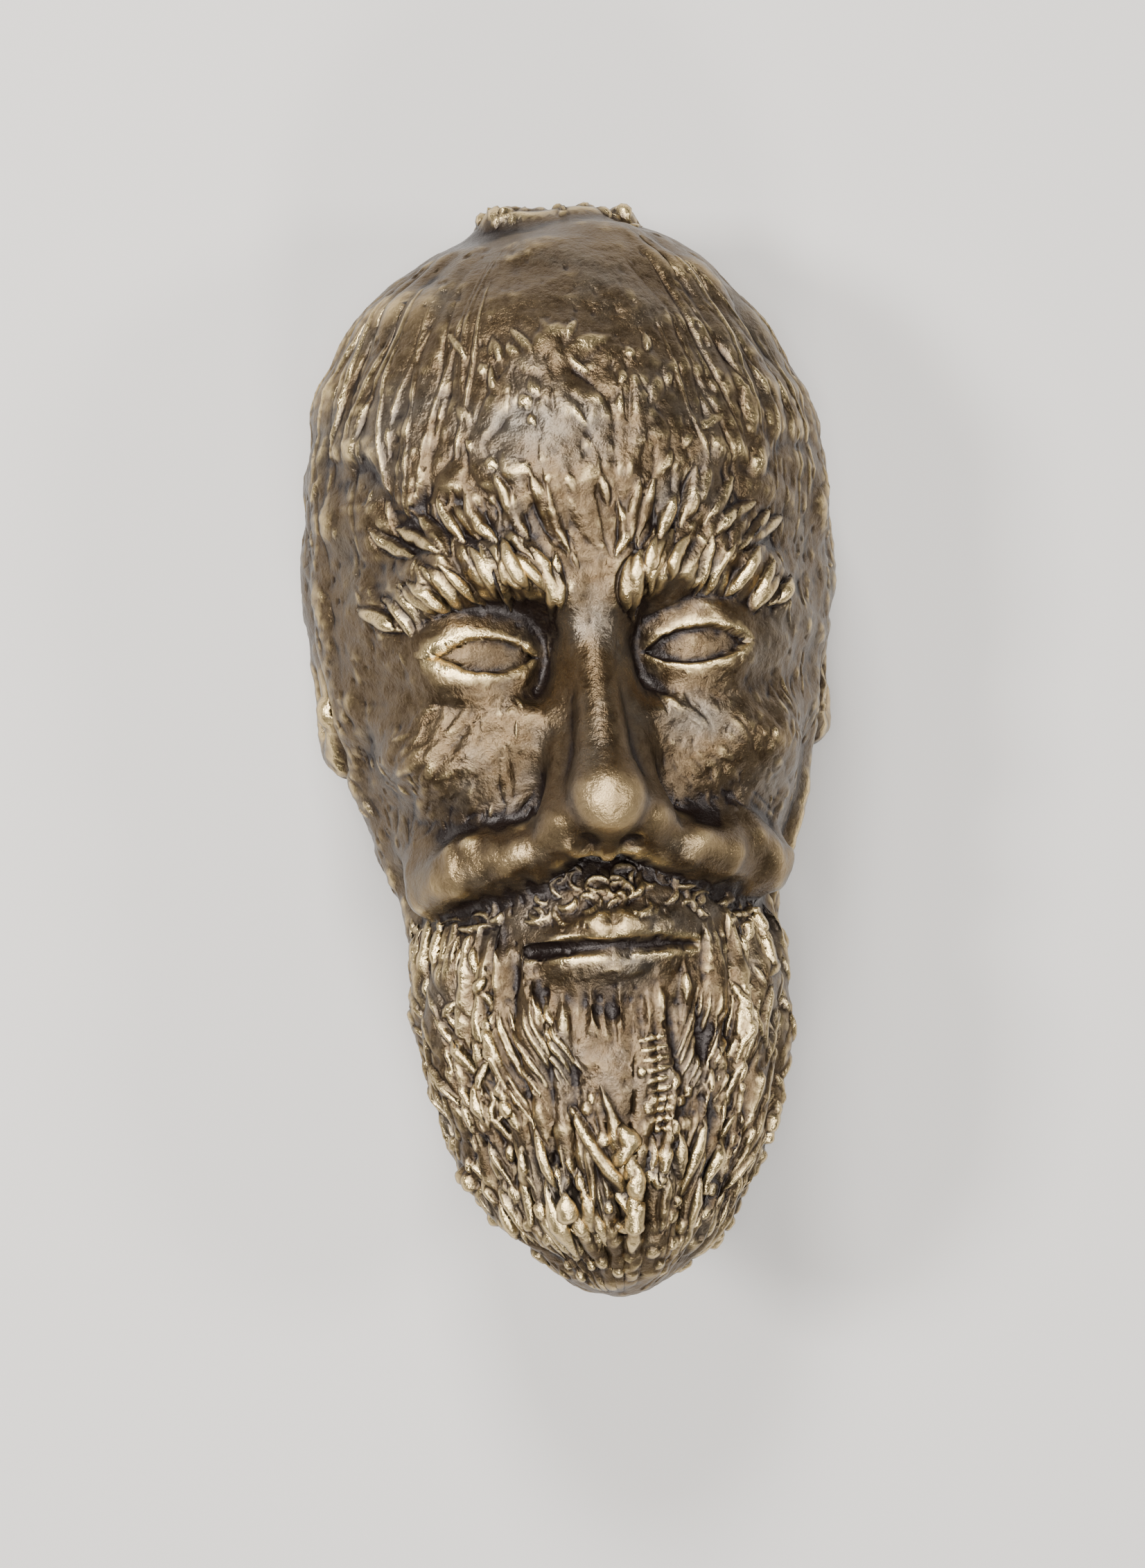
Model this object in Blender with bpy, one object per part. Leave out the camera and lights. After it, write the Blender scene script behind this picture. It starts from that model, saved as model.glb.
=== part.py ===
"""A small bearded head cast in bronze, made to lie on its back with the face up.

Metres, +Z out of the face, +Y towards the crown, origin in the middle of the flat on the back.
The head is one closed skin. Its forms are smooth distance fields, blended as a modeller presses
pellets of wax together, and the skin is where rays from the head's inner line meet their surface.
"""

import math

import bmesh
import bpy
import numpy as np

# Driving sizes, in metres
HEAD_LENGTH = 0.052
BACK_FLAT_BEHIND_EARS = 0.0118
BEARD_THICKNESS = 0.00036
LOCK_DEPTH = 0.0006
STRAND_WIDTH = 0.00075
STRAND_HEIGHT = 0.0004
TUFT_DEPTH = 0.0004
HAIR_THICKNESS = 0.00026
HAIR_LINE_DEPTH = 0.00022

# The net of the skin: columns run round the head, rows from the beard's tip to the crown.
# It is made fine, and thinned to the number of triangles that the solid keeps.
COLUMNS = 150
ROWS = 170
TRIANGLES = 9600
FACE_COLUMN_SHARE = 0.42
RAY_STEPS = 40
RAY_STRIDE = 0.75
WELD = 1e-7

BRONZE_COLOUR = (0.36, 0.27, 0.17, 1.0)
BRONZE_ROUGHNESS = 0.38
SHARP_EDGE_DEGREES = 60

# All that follows is in shares of the head's length: x out from the middle, y up, z out of the face.
# A stop on a rod is a place and the rod's radius there.
SKULL = ((0, 0.200, -0.030), (0.240, 0.288, 0.228))
OCCIPUT = ((0, 0.070, -0.060), (0.205, 0.220, 0.185))
NAPE = ((0, -0.100, -0.045), (0.135, 0.170, 0.145))
FACE = ((0, 0.020, 0.035), (0.192, 0.260, 0.150))
FOREHEAD = ((0, 0.240, 0.070), (0.158, 0.140, 0.125))
MUZZLE = ((0, -0.175, 0.120), (0.098, 0.085, 0.092))
CHEEKBONE = ((0.116, -0.004, 0.106), (0.066, 0.050, 0.060))

BROW_STOPS = [
    (0.020, 0.130, 0.180, 0.020),
    (0.060, 0.149, 0.185, 0.027),
    (0.115, 0.154, 0.157, 0.028),
    (0.167, 0.124, 0.102, 0.019),
]
TUFT_PITCH = 0.026
TUFT_SLANT = 0.55
TUFT_MIDDLE_Y = 0.140
TUFTS_FROM_MIDDLE = (0.015, 0.040)

EYE = (0.095, 0.078, 0.118)
EYE_RADIUS = 0.054
LID_THICKNESS = 0.0095
LID_HALF_WIDTH = 0.047
UPPER_LID_RISE = 0.017
LOWER_LID_DROP = 0.014
LID_SLANT = 0.05
SOCKET = ((0.096, 0.086, 0.212), (0.062, 0.043, 0.066))
INNER_SOCKET = ((0.052, 0.075, 0.200), (0.020, 0.038, 0.056))

NOSE_BRIDGE = [(0, 0.118, 0.172, 0.016), (0, -0.040, 0.244, 0.025)]
NOSE_FLANK = [(0.008, 0.100, 0.155, 0.014), (0.026, -0.050, 0.200, 0.026)]
NOSE_TIP = ((0, -0.056, 0.247), (0.029, 0.026, 0.032))
NOSE_WING = ((0.037, -0.070, 0.213), (0.022, 0.020, 0.030))
NOSE_WALL = [(0, -0.066, 0.258, 0.010), (0, -0.098, 0.212, 0.008)]
NOSTRIL = ((0.022, -0.095, 0.232), (0.013, 0.013, 0.020))

UPPER_LIP = [
    (0, -0.1655, 0.207, 0.0125),
    (0.012, -0.162, 0.209, 0.0125),
    (0.042, -0.168, 0.196, 0.0105),
    (0.076, -0.181, 0.163, 0.005),
]
LOWER_LIP = [(0, -0.1945, 0.203, 0.0150), (0.038, -0.192, 0.194, 0.013), (0.072, -0.183, 0.166, 0.005)]
MOUTH_SLIT = [(0, -0.1795, 0.221, 0.0062), (0.040, -0.1795, 0.210, 0.0056), (0.074, -0.1825, 0.183, 0.003)]
PHILTRUM = [(0, -0.105, 0.232, 0.008), (0, -0.148, 0.238, 0.013)]
LIP_HOLLOW = ((0, -0.227, 0.230), (0.045, 0.012, 0.022))

BEARD_HALF_WIDTH = 0.160
BEARD_FULLNESS = 2.1
BEARD_BLUNTNESS = 1.6
BEARD_HALF_DEPTH = 0.150
BEARD_ROOT = -0.200
BEARD_RISE = 0.130
BEARD_TIP = -0.500
BEARD_AXIS_Z = (0.045, 0.095)
BEARD_EDGE = -0.228
BEARD_EDGE_RISE = 0.062
BEARD_EDGE_CORNER = (0.045, 0.100)
BEARD_EDGE_WAVES = [(0.010, 0.9, 0.0), (0.006, 2.1, 0.0)]
BEARD_EDGE_SOFTNESS = (-0.010, 0.035)
BEARD_FADE_AT_TIP = -0.400
BEARD_BACK = (-0.115, -0.055)
NAPE_HAIR = (-0.120, -0.020)
LOCK_COUNT = 27
LOCK_BENDS = [(0.55, 19, 2.0), (0.35, 43, 0.0)]
LOCK_BUNCHES = [(1.1, 4, 9), (0.7, 9, -14)]
# The beard's front is smoother than its sides and its foot: shares, degrees round and heights
CALM_SHARE = 0.35
CALM_TURN = (24, 56)
CALM_FOOT = (0.330, 0.410)
# Strands pressed on over the locks, each from one place to another: degrees round, height
STRANDS = [
    (-9, -0.300, 7, -0.405),
    (6, -0.405, 4, -0.452),
    (24, -0.300, 17, -0.385),
    (-38, -0.345, -24, -0.432),
    (-26, -0.365, -13, -0.440),
    (44, -0.250, 36, -0.340),
    (58, -0.225, 52, -0.300),
    (-56, -0.235, -48, -0.320),
    (-70, -0.260, -60, -0.350),
    (66, -0.300, 54, -0.375),
]
MOUSTACHE_FROM = (0.030, -0.092, 0.212, 0.013)
MOUSTACHE_TOWARD = (0.095, -0.092, 0.176, 0.034)
MOUSTACHE_TO = (0.150, -0.126, 0.096, 0.012)
MOUSTACHE_STOPS = 8

EAR = (0.224, 0.050, -0.015)
EAR_HALF_HEIGHT = 0.048
EAR_HALF_WIDTH = 0.029
EAR_RIM = 0.0105
EAR_LEAN = 0.15
EAR_SPLAY = 0.22
EAR_LOBE = ((0.216, 0.001, -0.006), (0.011, 0.018, 0.014))
EAR_BOWL = ((0.243, 0.050, -0.012), (0.016, 0.028, 0.015))
EAR_FOLD_AT = 0.55
EAR_FOLD_OUT = 0.001
EAR_FOLD_RADIUS = 0.0065
EAR_FOLD_BACK = (-0.2, 0.5)
EAR_FLAP = ((0.226, 0.042, 0.012), (0.008, 0.011, 0.008))

CROWN_PAD = ((-0.006, 0.472, -0.032), (0.060, 0.026, 0.046))
CROWN_NUB = ((0.066, 0.478, -0.028), (0.013, 0.019, 0.013))
CROWN_BARE = (0.430, 0.470)
HAIR_AXIS_Z = -0.030
HAIR_LINES = 36
HAIR_BENDS = [(0.8, 9, 0.0)]
HAIR_BUNCHES = [(0.9, 7, 5)]
HAIR_FRONT_TURN = (30, 42)
TEMPLE_EDGE = 0.255
TEMPLE_SOFTNESS = 0.020
TONGUE_TURN = 41
TONGUE_WIDTH = 7
LEFT_TONGUE = 0.060
RIGHT_TONGUE = 0.035
SIDEBURN_TURN = (64, 74)
SIDEBURN_WAVES = [(3, 31, 0.0), (2, 67, 0.0)]
EAR_CLEARANCE = (1.15, 1.75)
HAIR_TO_BEARD = (-0.120, 0.040)

SPINE_FOOT = (-0.330, 0.070)
SPINE_HEAD = (0.270, -0.030)
RAY_START = 0.42
RAY_END = 0.005


def join(first, second, round_by):
    """Smooth union of two distance fields."""
    mix = np.clip(0.5 + 0.5 * (second - first) / round_by, 0.0, 1.0)
    return second * (1 - mix) + first * mix - round_by * mix * (1 - mix)


def carve(body, cutter, round_by):
    """The body's field with the cutter's taken away and the new edge rounded."""
    return -join(-body, cutter, round_by)


def ease(value, low, high):
    """0 below low, 1 above high, and a smooth step between."""
    share = np.clip((value - low) / (high - low), 0.0, 1.0)
    return share * share * (3 - 2 * share)


def ellipsoid(points, form):
    """Near distance to an ellipsoid, given as its centre and three radii."""
    centre, radii = np.array(form[0]), np.array(form[1])
    scaled = (points - centre) / radii
    reach = np.sqrt((scaled**2).sum(1)) + 1e-9
    steepness = np.sqrt(((scaled / radii) ** 2).sum(1)) + 1e-9
    return reach * (reach - 1.0) / steepness


def pillow(points, form):
    """Like an ellipsoid, but with flatter faces and round edges: a pressed pellet."""
    centre, radii = np.array(form[0]), np.array(form[1])
    reach = (((points - centre) / radii) ** 4).sum(1) ** 0.25
    return (reach - 1.0) * radii.min()


def rod(points, start, end):
    """Distance to a round-ended rod whose radius changes evenly from stop to stop."""
    foot, along = np.array(start[:3]), np.array(end[:3]) - np.array(start[:3])
    share = np.clip(((points - foot) @ along) / (along @ along), 0.0, 1.0)
    nearest = foot + share[:, None] * along
    return np.sqrt(((points - nearest) ** 2).sum(1)) - (start[3] + (end[3] - start[3]) * share)


def chain(points, stops, round_by):
    """Rods through a row of stops, blended where they meet."""
    made = rod(points, stops[0], stops[1])
    for start, end in zip(stops[1:], stops[2:]):
        made = join(made, rod(points, start, end), round_by)
    return made


def skull_field(half):
    """The skull, its back, the nape, the face block and the forehead, as one smooth mass."""
    mass = ellipsoid(half, SKULL)
    for form, round_by in (
        (OCCIPUT, 0.08),
        (NAPE, 0.07),
        (FACE, 0.06),
        (FOREHEAD, 0.06),
        (MUZZLE, 0.04),
        (CHEEKBONE, 0.03),
    ):
        mass = join(mass, ellipsoid(half, form), round_by)
    return mass


def degrees_round(points, axis_z):
    """Degrees round the head from straight ahead, negative on the head's right side."""
    return np.degrees(np.arctan2(points[:, 0], points[:, 2] - axis_z))


def waves(value, parts):
    """A sum of sine waves, each given as its height, pitch and start."""
    return sum(height * np.sin(pitch * value + start) for height, pitch, start in parts)


def ribs(points, axis_z, count, bends, bunches):
    """0 in narrow grooves and 1 on round ribs that run from crown to tip.

    Bends sway them all alike on their way down, and bunches crowd them together here and there.
    """
    y = points[:, 1]
    turn = np.radians(degrees_round(points, axis_z))
    crowd = sum(share * np.sin(number * turn + pitch * y) for share, number, pitch in bunches)
    return np.abs(np.sin(0.5 * count * turn + waves(y, bends) + crowd))


def hair_area(points):
    """1 where hair grows and 0 on bare skin: the dome's sides, the sideburns and the beard.

    The forehead and the middle of the dome are bare, and so are the ears.
    """
    x, y, z = np.abs(points[:, 0]), points[:, 1], points[:, 2]
    turn = degrees_round(points, HAIR_AXIS_Z)
    side = np.abs(turn)
    temple = TEMPLE_EDGE - LEFT_TONGUE * np.exp(-(((turn + TONGUE_TURN) / TONGUE_WIDTH) ** 2))
    temple = temple - RIGHT_TONGUE * np.exp(-(((turn - TONGUE_TURN) / TONGUE_WIDTH) ** 2))
    dome = ease(side, *HAIR_FRONT_TURN) * ease(y - temple, 0, TEMPLE_SOFTNESS)
    sideburn = ease(side + waves(y, SIDEBURN_WAVES), *SIDEBURN_TURN)
    edge = BEARD_EDGE + BEARD_EDGE_RISE * ease(x, *BEARD_EDGE_CORNER)
    chin = ease(edge + waves(turn, BEARD_EDGE_WAVES) - y, *BEARD_EDGE_SOFTNESS)
    grown = np.maximum(np.maximum(dome, sideburn), chin)
    ends = (1 - ease(y, *CROWN_BARE)) * ease(y, BEARD_TIP, BEARD_FADE_AT_TIP)
    back = np.maximum(ease(y, *NAPE_HAIR), ease(z, *BEARD_BACK))
    return grown * ends * back * ease(ear_oval(points), *EAR_CLEARANCE)


def strands(points):
    """Height of the pressed-on strands: half-round ridges that narrow to both ends."""
    across = np.radians(degrees_round(points, BEARD_AXIS_Z[1])) * BEARD_HALF_DEPTH
    height = np.zeros(len(points))
    for from_turn, from_y, to_turn, to_y in STRANDS:
        foot = np.array([math.radians(from_turn) * BEARD_HALF_DEPTH, from_y])
        along = np.array([math.radians(to_turn) * BEARD_HALF_DEPTH, to_y]) - foot
        out = np.stack([across, points[:, 1]], 1) - foot
        share = np.clip((out @ along) / (along @ along), 0, 1)
        away = np.hypot(*(out - share[:, None] * along).T) * HEAD_LENGTH / STRAND_WIDTH
        girth = np.sqrt(np.sin(np.pi * np.clip(share, 0.02, 0.98)))
        height = np.maximum(height, STRAND_HEIGHT * np.sqrt(np.clip(girth**2 - 4 * away**2, 0, 1)))
    return height


def hair_relief(points):
    """How far hair stands off the skin: a thin layer on the head, a thick one in the beard."""
    head_ribs = ribs(points, HAIR_AXIS_Z, HAIR_LINES, HAIR_BENDS, HAIR_BUNCHES)
    locks = ribs(points, BEARD_AXIS_Z[1], LOCK_COUNT, LOCK_BENDS, LOCK_BUNCHES)
    side = np.abs(degrees_round(points, BEARD_AXIS_Z[1]))
    lively = np.maximum(ease(side, *CALM_TURN), ease(-points[:, 1], *CALM_FOOT))
    lively = CALM_SHARE + (1 - CALM_SHARE) * lively
    on_head = HAIR_THICKNESS + (head_ribs - 0.5) * HAIR_LINE_DEPTH
    in_beard = BEARD_THICKNESS + (locks - 0.5) * LOCK_DEPTH * lively + strands(points)
    head_share = ease(points[:, 1], *HAIR_TO_BEARD)
    return hair_area(points) * (in_beard + (on_head - in_beard) * head_share) / HEAD_LENGTH


def beard_field(half):
    """The beard's body: an egg that the jaw sinks into, ending in a blunt point."""
    x, y, z = half.T
    down = (BEARD_ROOT - y) / (BEARD_ROOT - BEARD_TIP)
    way = np.maximum(down, (y - BEARD_ROOT) / BEARD_RISE)
    axis_z = np.interp(down, [0, 1], BEARD_AXIS_Z)
    girth = np.hypot(x / BEARD_HALF_WIDTH, (z - axis_z) / BEARD_HALF_DEPTH)
    return (way**BEARD_FULLNESS + girth**BEARD_BLUNTNESS - 1) * BEARD_HALF_WIDTH / BEARD_BLUNTNESS


def brow_field(half):
    """The brow ridges with their slanting tufts."""
    x, y = half[:, 0], half[:, 1]
    tufts = np.abs(np.sin((x - TUFT_SLANT * (y - TUFT_MIDDLE_Y)) * math.pi / TUFT_PITCH))
    relief = (tufts - 0.5) * ease(x, *TUFTS_FROM_MIDDLE) * TUFT_DEPTH / HEAD_LENGTH
    return chain(half, BROW_STOPS, 0.02) - relief


def nose_field(half):
    """Bridge, flanks, tip, wings and the wall between the nostrils."""
    nose = join(rod(half, *NOSE_BRIDGE), rod(half, *NOSE_FLANK), 0.02)
    nose = join(nose, ellipsoid(half, NOSE_TIP), 0.035)
    nose = join(nose, ellipsoid(half, NOSE_WING), 0.018)
    return join(nose, rod(half, *NOSE_WALL), 0.01)


def eye_fields(half):
    """The eyeball, and the lids as a thicker shell round it with an almond cut through."""
    out = half - np.array(EYE)
    distance = np.sqrt((out**2).sum(1))
    across, up = out[:, 0], out[:, 1] - LID_SLANT * out[:, 0]
    upper_arc = (LID_HALF_WIDTH**2 + UPPER_LID_RISE**2) / (2 * UPPER_LID_RISE)
    lower_arc = (LID_HALF_WIDTH**2 + LOWER_LID_DROP**2) / (2 * LOWER_LID_DROP)
    above = np.hypot(across, up + upper_arc - UPPER_LID_RISE) - upper_arc
    below = np.hypot(across, up - lower_arc + LOWER_LID_DROP) - lower_arc
    almond = np.maximum(np.maximum(above, below), -out[:, 2])
    lids = carve(distance - EYE_RADIUS - LID_THICKNESS, almond, 0.006)
    return distance - EYE_RADIUS, lids


def ear_oval(points):
    """1 on the middle of the ear's rim, less inside it and more outside, seen from the side."""
    rise, back = points[:, 1] - EAR[1], points[:, 2] - EAR[2]
    return np.hypot((rise + EAR_LEAN * back) / EAR_HALF_HEIGHT, back / EAR_HALF_WIDTH)


def with_ears(head, half):
    """The head with an oval rim and a lobe pressed on at each side, a shallow bowl cut inside the
    rim, and in the bowl a curved fold towards the back and a small flap at the front."""
    out = half[:, 0] - EAR[0] + EAR_SPLAY * (half[:, 2] - EAR[2])
    mean_radius = 0.5 * (EAR_HALF_HEIGHT + EAR_HALF_WIDTH)
    rim = np.hypot((ear_oval(half) - 1) * mean_radius, out) - EAR_RIM
    head = join(head, join(rim, ellipsoid(half, EAR_LOBE), 0.01), 0.012)
    head = carve(head, ellipsoid(half, EAR_BOWL), 0.008)
    thickness = EAR_FOLD_RADIUS * ease((EAR[2] - half[:, 2]) / EAR_HALF_WIDTH, *EAR_FOLD_BACK)
    fold = np.hypot((ear_oval(half) - EAR_FOLD_AT) * mean_radius, out - EAR_FOLD_OUT) - thickness
    return join(head, np.minimum(fold, ellipsoid(half, EAR_FLAP)), 0.004)


def mouth_field(head, half):
    """The head with lips pressed on, and the slit, philtrum and the hollow under the lip cut in."""
    lips = join(chain(half, UPPER_LIP, 0.006), chain(half, LOWER_LIP, 0.006), 0.004)
    head = join(head, lips, 0.010)
    head = carve(head, chain(half, MOUTH_SLIT, 0.004), 0.005)
    head = carve(head, rod(half, *PHILTRUM), 0.010)
    return carve(head, ellipsoid(half, LIP_HOLLOW), 0.020)


def moustache_field(half):
    """A roll along a curve that leaves its first place towards the second and ends at the third:
    the three are weighed by (1 - s) squared, 2 s (1 - s) and s squared, and so are their radii."""
    share = np.linspace(0, 1, MOUSTACHE_STOPS)[:, None]
    stops = (1 - share) ** 2 * np.array(MOUSTACHE_FROM) + share**2 * np.array(MOUSTACHE_TO)
    stops = stops + 2 * share * (1 - share) * np.array(MOUSTACHE_TOWARD)
    return chain(half, stops, 0.003)


def head_field(points):
    """Signed distance, near enough, to the skin of the whole head: negative inside."""
    half = points.copy()
    half[:, 0] = np.abs(half[:, 0])
    head = join(skull_field(half), beard_field(half), 0.035)
    head = join(head, brow_field(half), 0.025)
    head = carve(head, ellipsoid(half, SOCKET), 0.035)
    head = carve(head, ellipsoid(half, INNER_SOCKET), 0.025)
    head = join(head, nose_field(half), 0.018)
    head = carve(head, ellipsoid(half, NOSTRIL), 0.006)
    ball, lids = eye_fields(half)
    head = join(join(head, lids, 0.010), ball, 0.003)
    head = mouth_field(head, half)
    head = head - hair_relief(points)
    head = join(head, moustache_field(half), 0.024)
    head = with_ears(head, half)
    head = join(head, pillow(points, CROWN_PAD), 0.010)
    return join(head, ellipsoid(points, CROWN_NUB), 0.006)


def head_skin(columns, rows):
    """The skin as rows of points: each ray is walked inwards until it meets the field's surface.

    Ray feet slide along an inner line from beard to crown, and the rays fan out at its ends.
    """
    round_share = np.linspace(-1, 1, columns, endpoint=False)
    turn = math.pi * (FACE_COLUMN_SHARE * round_share + (1 - FACE_COLUMN_SHARE) * round_share**3)
    along = np.linspace(-1, 1, rows)
    rise = math.pi / 2 * np.sign(along) * (0.3 * np.abs(along) + 0.7 * along**4)
    turn, rise = (grid.ravel() for grid in np.meshgrid(turn, rise))
    foot_share = np.repeat((along + 1) / 2, columns)
    feet = np.zeros((rows * columns, 3))
    feet[:, 1] = SPINE_FOOT[0] + (SPINE_HEAD[0] - SPINE_FOOT[0]) * foot_share
    feet[:, 2] = SPINE_FOOT[1] + (SPINE_HEAD[1] - SPINE_FOOT[1]) * foot_share
    rays = np.stack([np.sin(turn) * np.cos(rise), np.sin(rise), np.cos(turn) * np.cos(rise)], 1)
    reach = np.full(len(rays), RAY_START)
    for _ in range(RAY_STEPS):
        met = feet + reach[:, None] * rays
        reach = np.maximum(reach - RAY_STRIDE * head_field(met), RAY_END)
    return feet + reach[:, None] * rays


def skin_mesh(points, columns, rows):
    """A bmesh of quads over the rows of points, its two poles welded to single vertices."""
    made = bmesh.new()
    corners = [made.verts.new(point) for point in points]
    for row in range(rows - 1):
        for column in range(columns):
            after = (column + 1) % columns
            low, high = row * columns, (row + 1) * columns
            quad = (low + column, high + column, high + after, low + after)
            made.faces.new([corners[corner] for corner in quad])
    bmesh.ops.remove_doubles(made, verts=made.verts, dist=WELD)
    bmesh.ops.dissolve_degenerate(made, edges=made.edges, dist=WELD)
    bmesh.ops.recalc_face_normals(made, faces=made.faces)
    return made


def thinned(made, triangles):
    """The same skin with fewer triangles, which stay where the form bends most."""
    mesh = bpy.data.meshes.new("fine skin")
    made.to_mesh(mesh)
    made.free()
    fine = bpy.data.objects.new("fine skin", mesh)
    bpy.context.scene.collection.objects.link(fine)
    decimate = fine.modifiers.new("thin out", "DECIMATE")
    decimate.ratio = triangles / sum(len(face.vertices) - 2 for face in mesh.polygons)
    thin = bmesh.new()
    thin.from_object(fine, bpy.context.evaluated_depsgraph_get())
    bpy.data.objects.remove(fine)
    bpy.data.meshes.remove(mesh)
    return thin


def cut_back_flat(made, plane_z):
    """Cuts the back off square, fills the cut and returns the middle of the flat."""
    cut = bmesh.ops.bisect_plane(
        made,
        geom=made.verts[:] + made.edges[:] + made.faces[:],
        plane_co=(0, 0, plane_z),
        plane_no=(0, 0, -1),
        clear_outer=True,
    )
    rim = [item for item in cut["geom_cut"] if isinstance(item, bmesh.types.BMEdge)]
    bmesh.ops.holes_fill(made, edges=rim, sides=0)
    lengthwise = [vert.co.y for edge in rim for vert in edge.verts]
    return 0.5 * (min(lengthwise) + max(lengthwise))


def bronze():
    """Brown-gold cast bronze."""
    made = bpy.data.materials.new("bronze")
    made.use_nodes = True
    shader = made.node_tree.nodes["Principled BSDF"]
    shader.inputs["Base Color"].default_value = BRONZE_COLOUR
    shader.inputs["Metallic"].default_value = 1.0
    shader.inputs["Roughness"].default_value = BRONZE_ROUGHNESS
    return made


def bronze_head():
    """The head as one object, lying on the flat of its back at the origin."""
    skin = skin_mesh(head_skin(COLUMNS, ROWS) * HEAD_LENGTH, COLUMNS, ROWS)
    made = thinned(skin, TRIANGLES)
    flat_y = cut_back_flat(made, -BACK_FLAT_BEHIND_EARS)
    bmesh.ops.translate(made, verts=made.verts, vec=(0, -flat_y, BACK_FLAT_BEHIND_EARS))
    bmesh.ops.triangulate(made, faces=made.faces)
    mesh = bpy.data.meshes.new("bronze_head")
    made.to_mesh(mesh)
    made.free()
    mesh.shade_smooth()
    mesh.set_sharp_from_angle(angle=math.radians(SHARP_EDGE_DEGREES))
    mesh.materials.append(bronze())
    head = bpy.data.objects.new("bronze_head", mesh)
    bpy.context.scene.collection.objects.link(head)
    return head


for leftover in list(bpy.data.objects):
    bpy.data.objects.remove(leftover)
bronze_head()
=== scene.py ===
"""A small cast bronze head of a bearded man, lying on its back with its face to the camera.

The head is one casting. Its skin is worked out here from the same forms as the solid it stands
for, and then gets the strokes, pellets and pits that a modeller's tool left in the wax.
"""

import math

import bpy
import numpy as np
from mathutils import Matrix, Vector


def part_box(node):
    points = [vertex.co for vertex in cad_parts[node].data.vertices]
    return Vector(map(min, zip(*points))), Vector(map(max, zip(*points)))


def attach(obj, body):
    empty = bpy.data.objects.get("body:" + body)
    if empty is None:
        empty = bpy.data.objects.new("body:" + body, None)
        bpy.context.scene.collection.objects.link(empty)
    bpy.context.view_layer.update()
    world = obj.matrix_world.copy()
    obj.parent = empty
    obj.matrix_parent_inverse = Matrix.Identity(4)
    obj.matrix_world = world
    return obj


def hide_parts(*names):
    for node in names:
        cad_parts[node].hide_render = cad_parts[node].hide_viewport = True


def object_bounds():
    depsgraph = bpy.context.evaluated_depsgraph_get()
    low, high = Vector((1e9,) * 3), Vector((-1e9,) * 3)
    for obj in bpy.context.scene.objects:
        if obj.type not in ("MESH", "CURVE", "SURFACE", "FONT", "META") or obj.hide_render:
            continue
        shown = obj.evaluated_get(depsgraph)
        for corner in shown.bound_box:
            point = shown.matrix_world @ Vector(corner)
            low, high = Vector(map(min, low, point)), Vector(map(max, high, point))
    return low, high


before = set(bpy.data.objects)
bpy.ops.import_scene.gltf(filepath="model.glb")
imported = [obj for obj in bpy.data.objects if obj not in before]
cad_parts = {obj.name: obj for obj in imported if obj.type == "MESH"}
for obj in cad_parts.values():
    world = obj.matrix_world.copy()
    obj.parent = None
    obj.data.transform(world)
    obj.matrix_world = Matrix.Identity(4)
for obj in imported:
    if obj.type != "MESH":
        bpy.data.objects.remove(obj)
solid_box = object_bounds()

# The camera looks down on the face through a long lens. In the picture the head leans to the
# left and turns a little to the right, so the camera is rolled and swung round by as much.
PHOTO_HEIGHT_PIXELS = 2263
HEAD_LENGTH_PIXELS = 1567
HEAD_RIGHT_OF_MIDDLE_PIXELS = 14
HEAD_ABOVE_MIDDLE_PIXELS = 58
HEAD_LEAN_DEGREES = 3.4
HEAD_TURN_DEGREES = 4.5
LENS_MM = 90
SENSOR_MM = 36
OUTLINE_HEIGHT = 0.0125

low, high = solid_box
metres_per_pixel = (high.y - low.y) / HEAD_LENGTH_PIXELS
turn_round = math.radians(HEAD_TURN_DEGREES)
lean_over = math.radians(HEAD_LEAN_DEGREES)
toward_camera = Vector((-math.sin(turn_round), 0, math.cos(turn_round)))
picture_up = Vector((math.sin(lean_over), math.cos(lean_over), 0))
picture_right = picture_up.cross(toward_camera).normalized()
picture_up = toward_camera.cross(picture_right)
aim = Vector(((low.x + high.x) / 2, (low.y + high.y) / 2, OUTLINE_HEIGHT))
aim -= picture_right * HEAD_RIGHT_OF_MIDDLE_PIXELS * metres_per_pixel
aim -= picture_up * HEAD_ABOVE_MIDDLE_PIXELS * metres_per_pixel
distance = PHOTO_HEIGHT_PIXELS * metres_per_pixel * LENS_MM / SENSOR_MM
camera_data = bpy.data.cameras.new("camera")
camera_data.lens = LENS_MM
camera_data.sensor_width = SENSOR_MM
camera_data.clip_start = 0.01
camera_data.clip_end = 5
camera = bpy.data.objects.new("camera", camera_data)
camera.matrix_world = Matrix.Translation(aim + toward_camera * distance) @ Matrix(
    (picture_right, picture_up, toward_camera)
).transposed().to_4x4()
bpy.context.scene.collection.objects.link(camera)
bpy.context.scene.camera = camera


# Skull: the plain mass of the head, from the crown to the nape and forward to the muzzle.
# Solid bronze. Sizes here and below are shares of the head's length, crown to beard tip:
# x out from the middle, y up, z out of the face. A form is a centre and three radii.
SKULL = ((0, 0.200, -0.030), (0.240, 0.288, 0.228))
OCCIPUT = ((0, 0.070, -0.060), (0.205, 0.220, 0.185))
NAPE = ((0, -0.100, -0.045), (0.135, 0.170, 0.145))
FACE = ((0, 0.020, 0.035), (0.192, 0.260, 0.150))
FOREHEAD = ((0, 0.240, 0.070), (0.158, 0.140, 0.125))
MUZZLE = ((0, -0.175, 0.120), (0.098, 0.085, 0.092))
CHEEKBONE = ((0.116, -0.004, 0.106), (0.066, 0.050, 0.060))


def join(first, second, round_by):
    """Smooth union of two distance fields."""
    mix = np.clip(0.5 + 0.5 * (second - first) / round_by, 0.0, 1.0)
    return second * (1 - mix) + first * mix - round_by * mix * (1 - mix)


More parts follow.
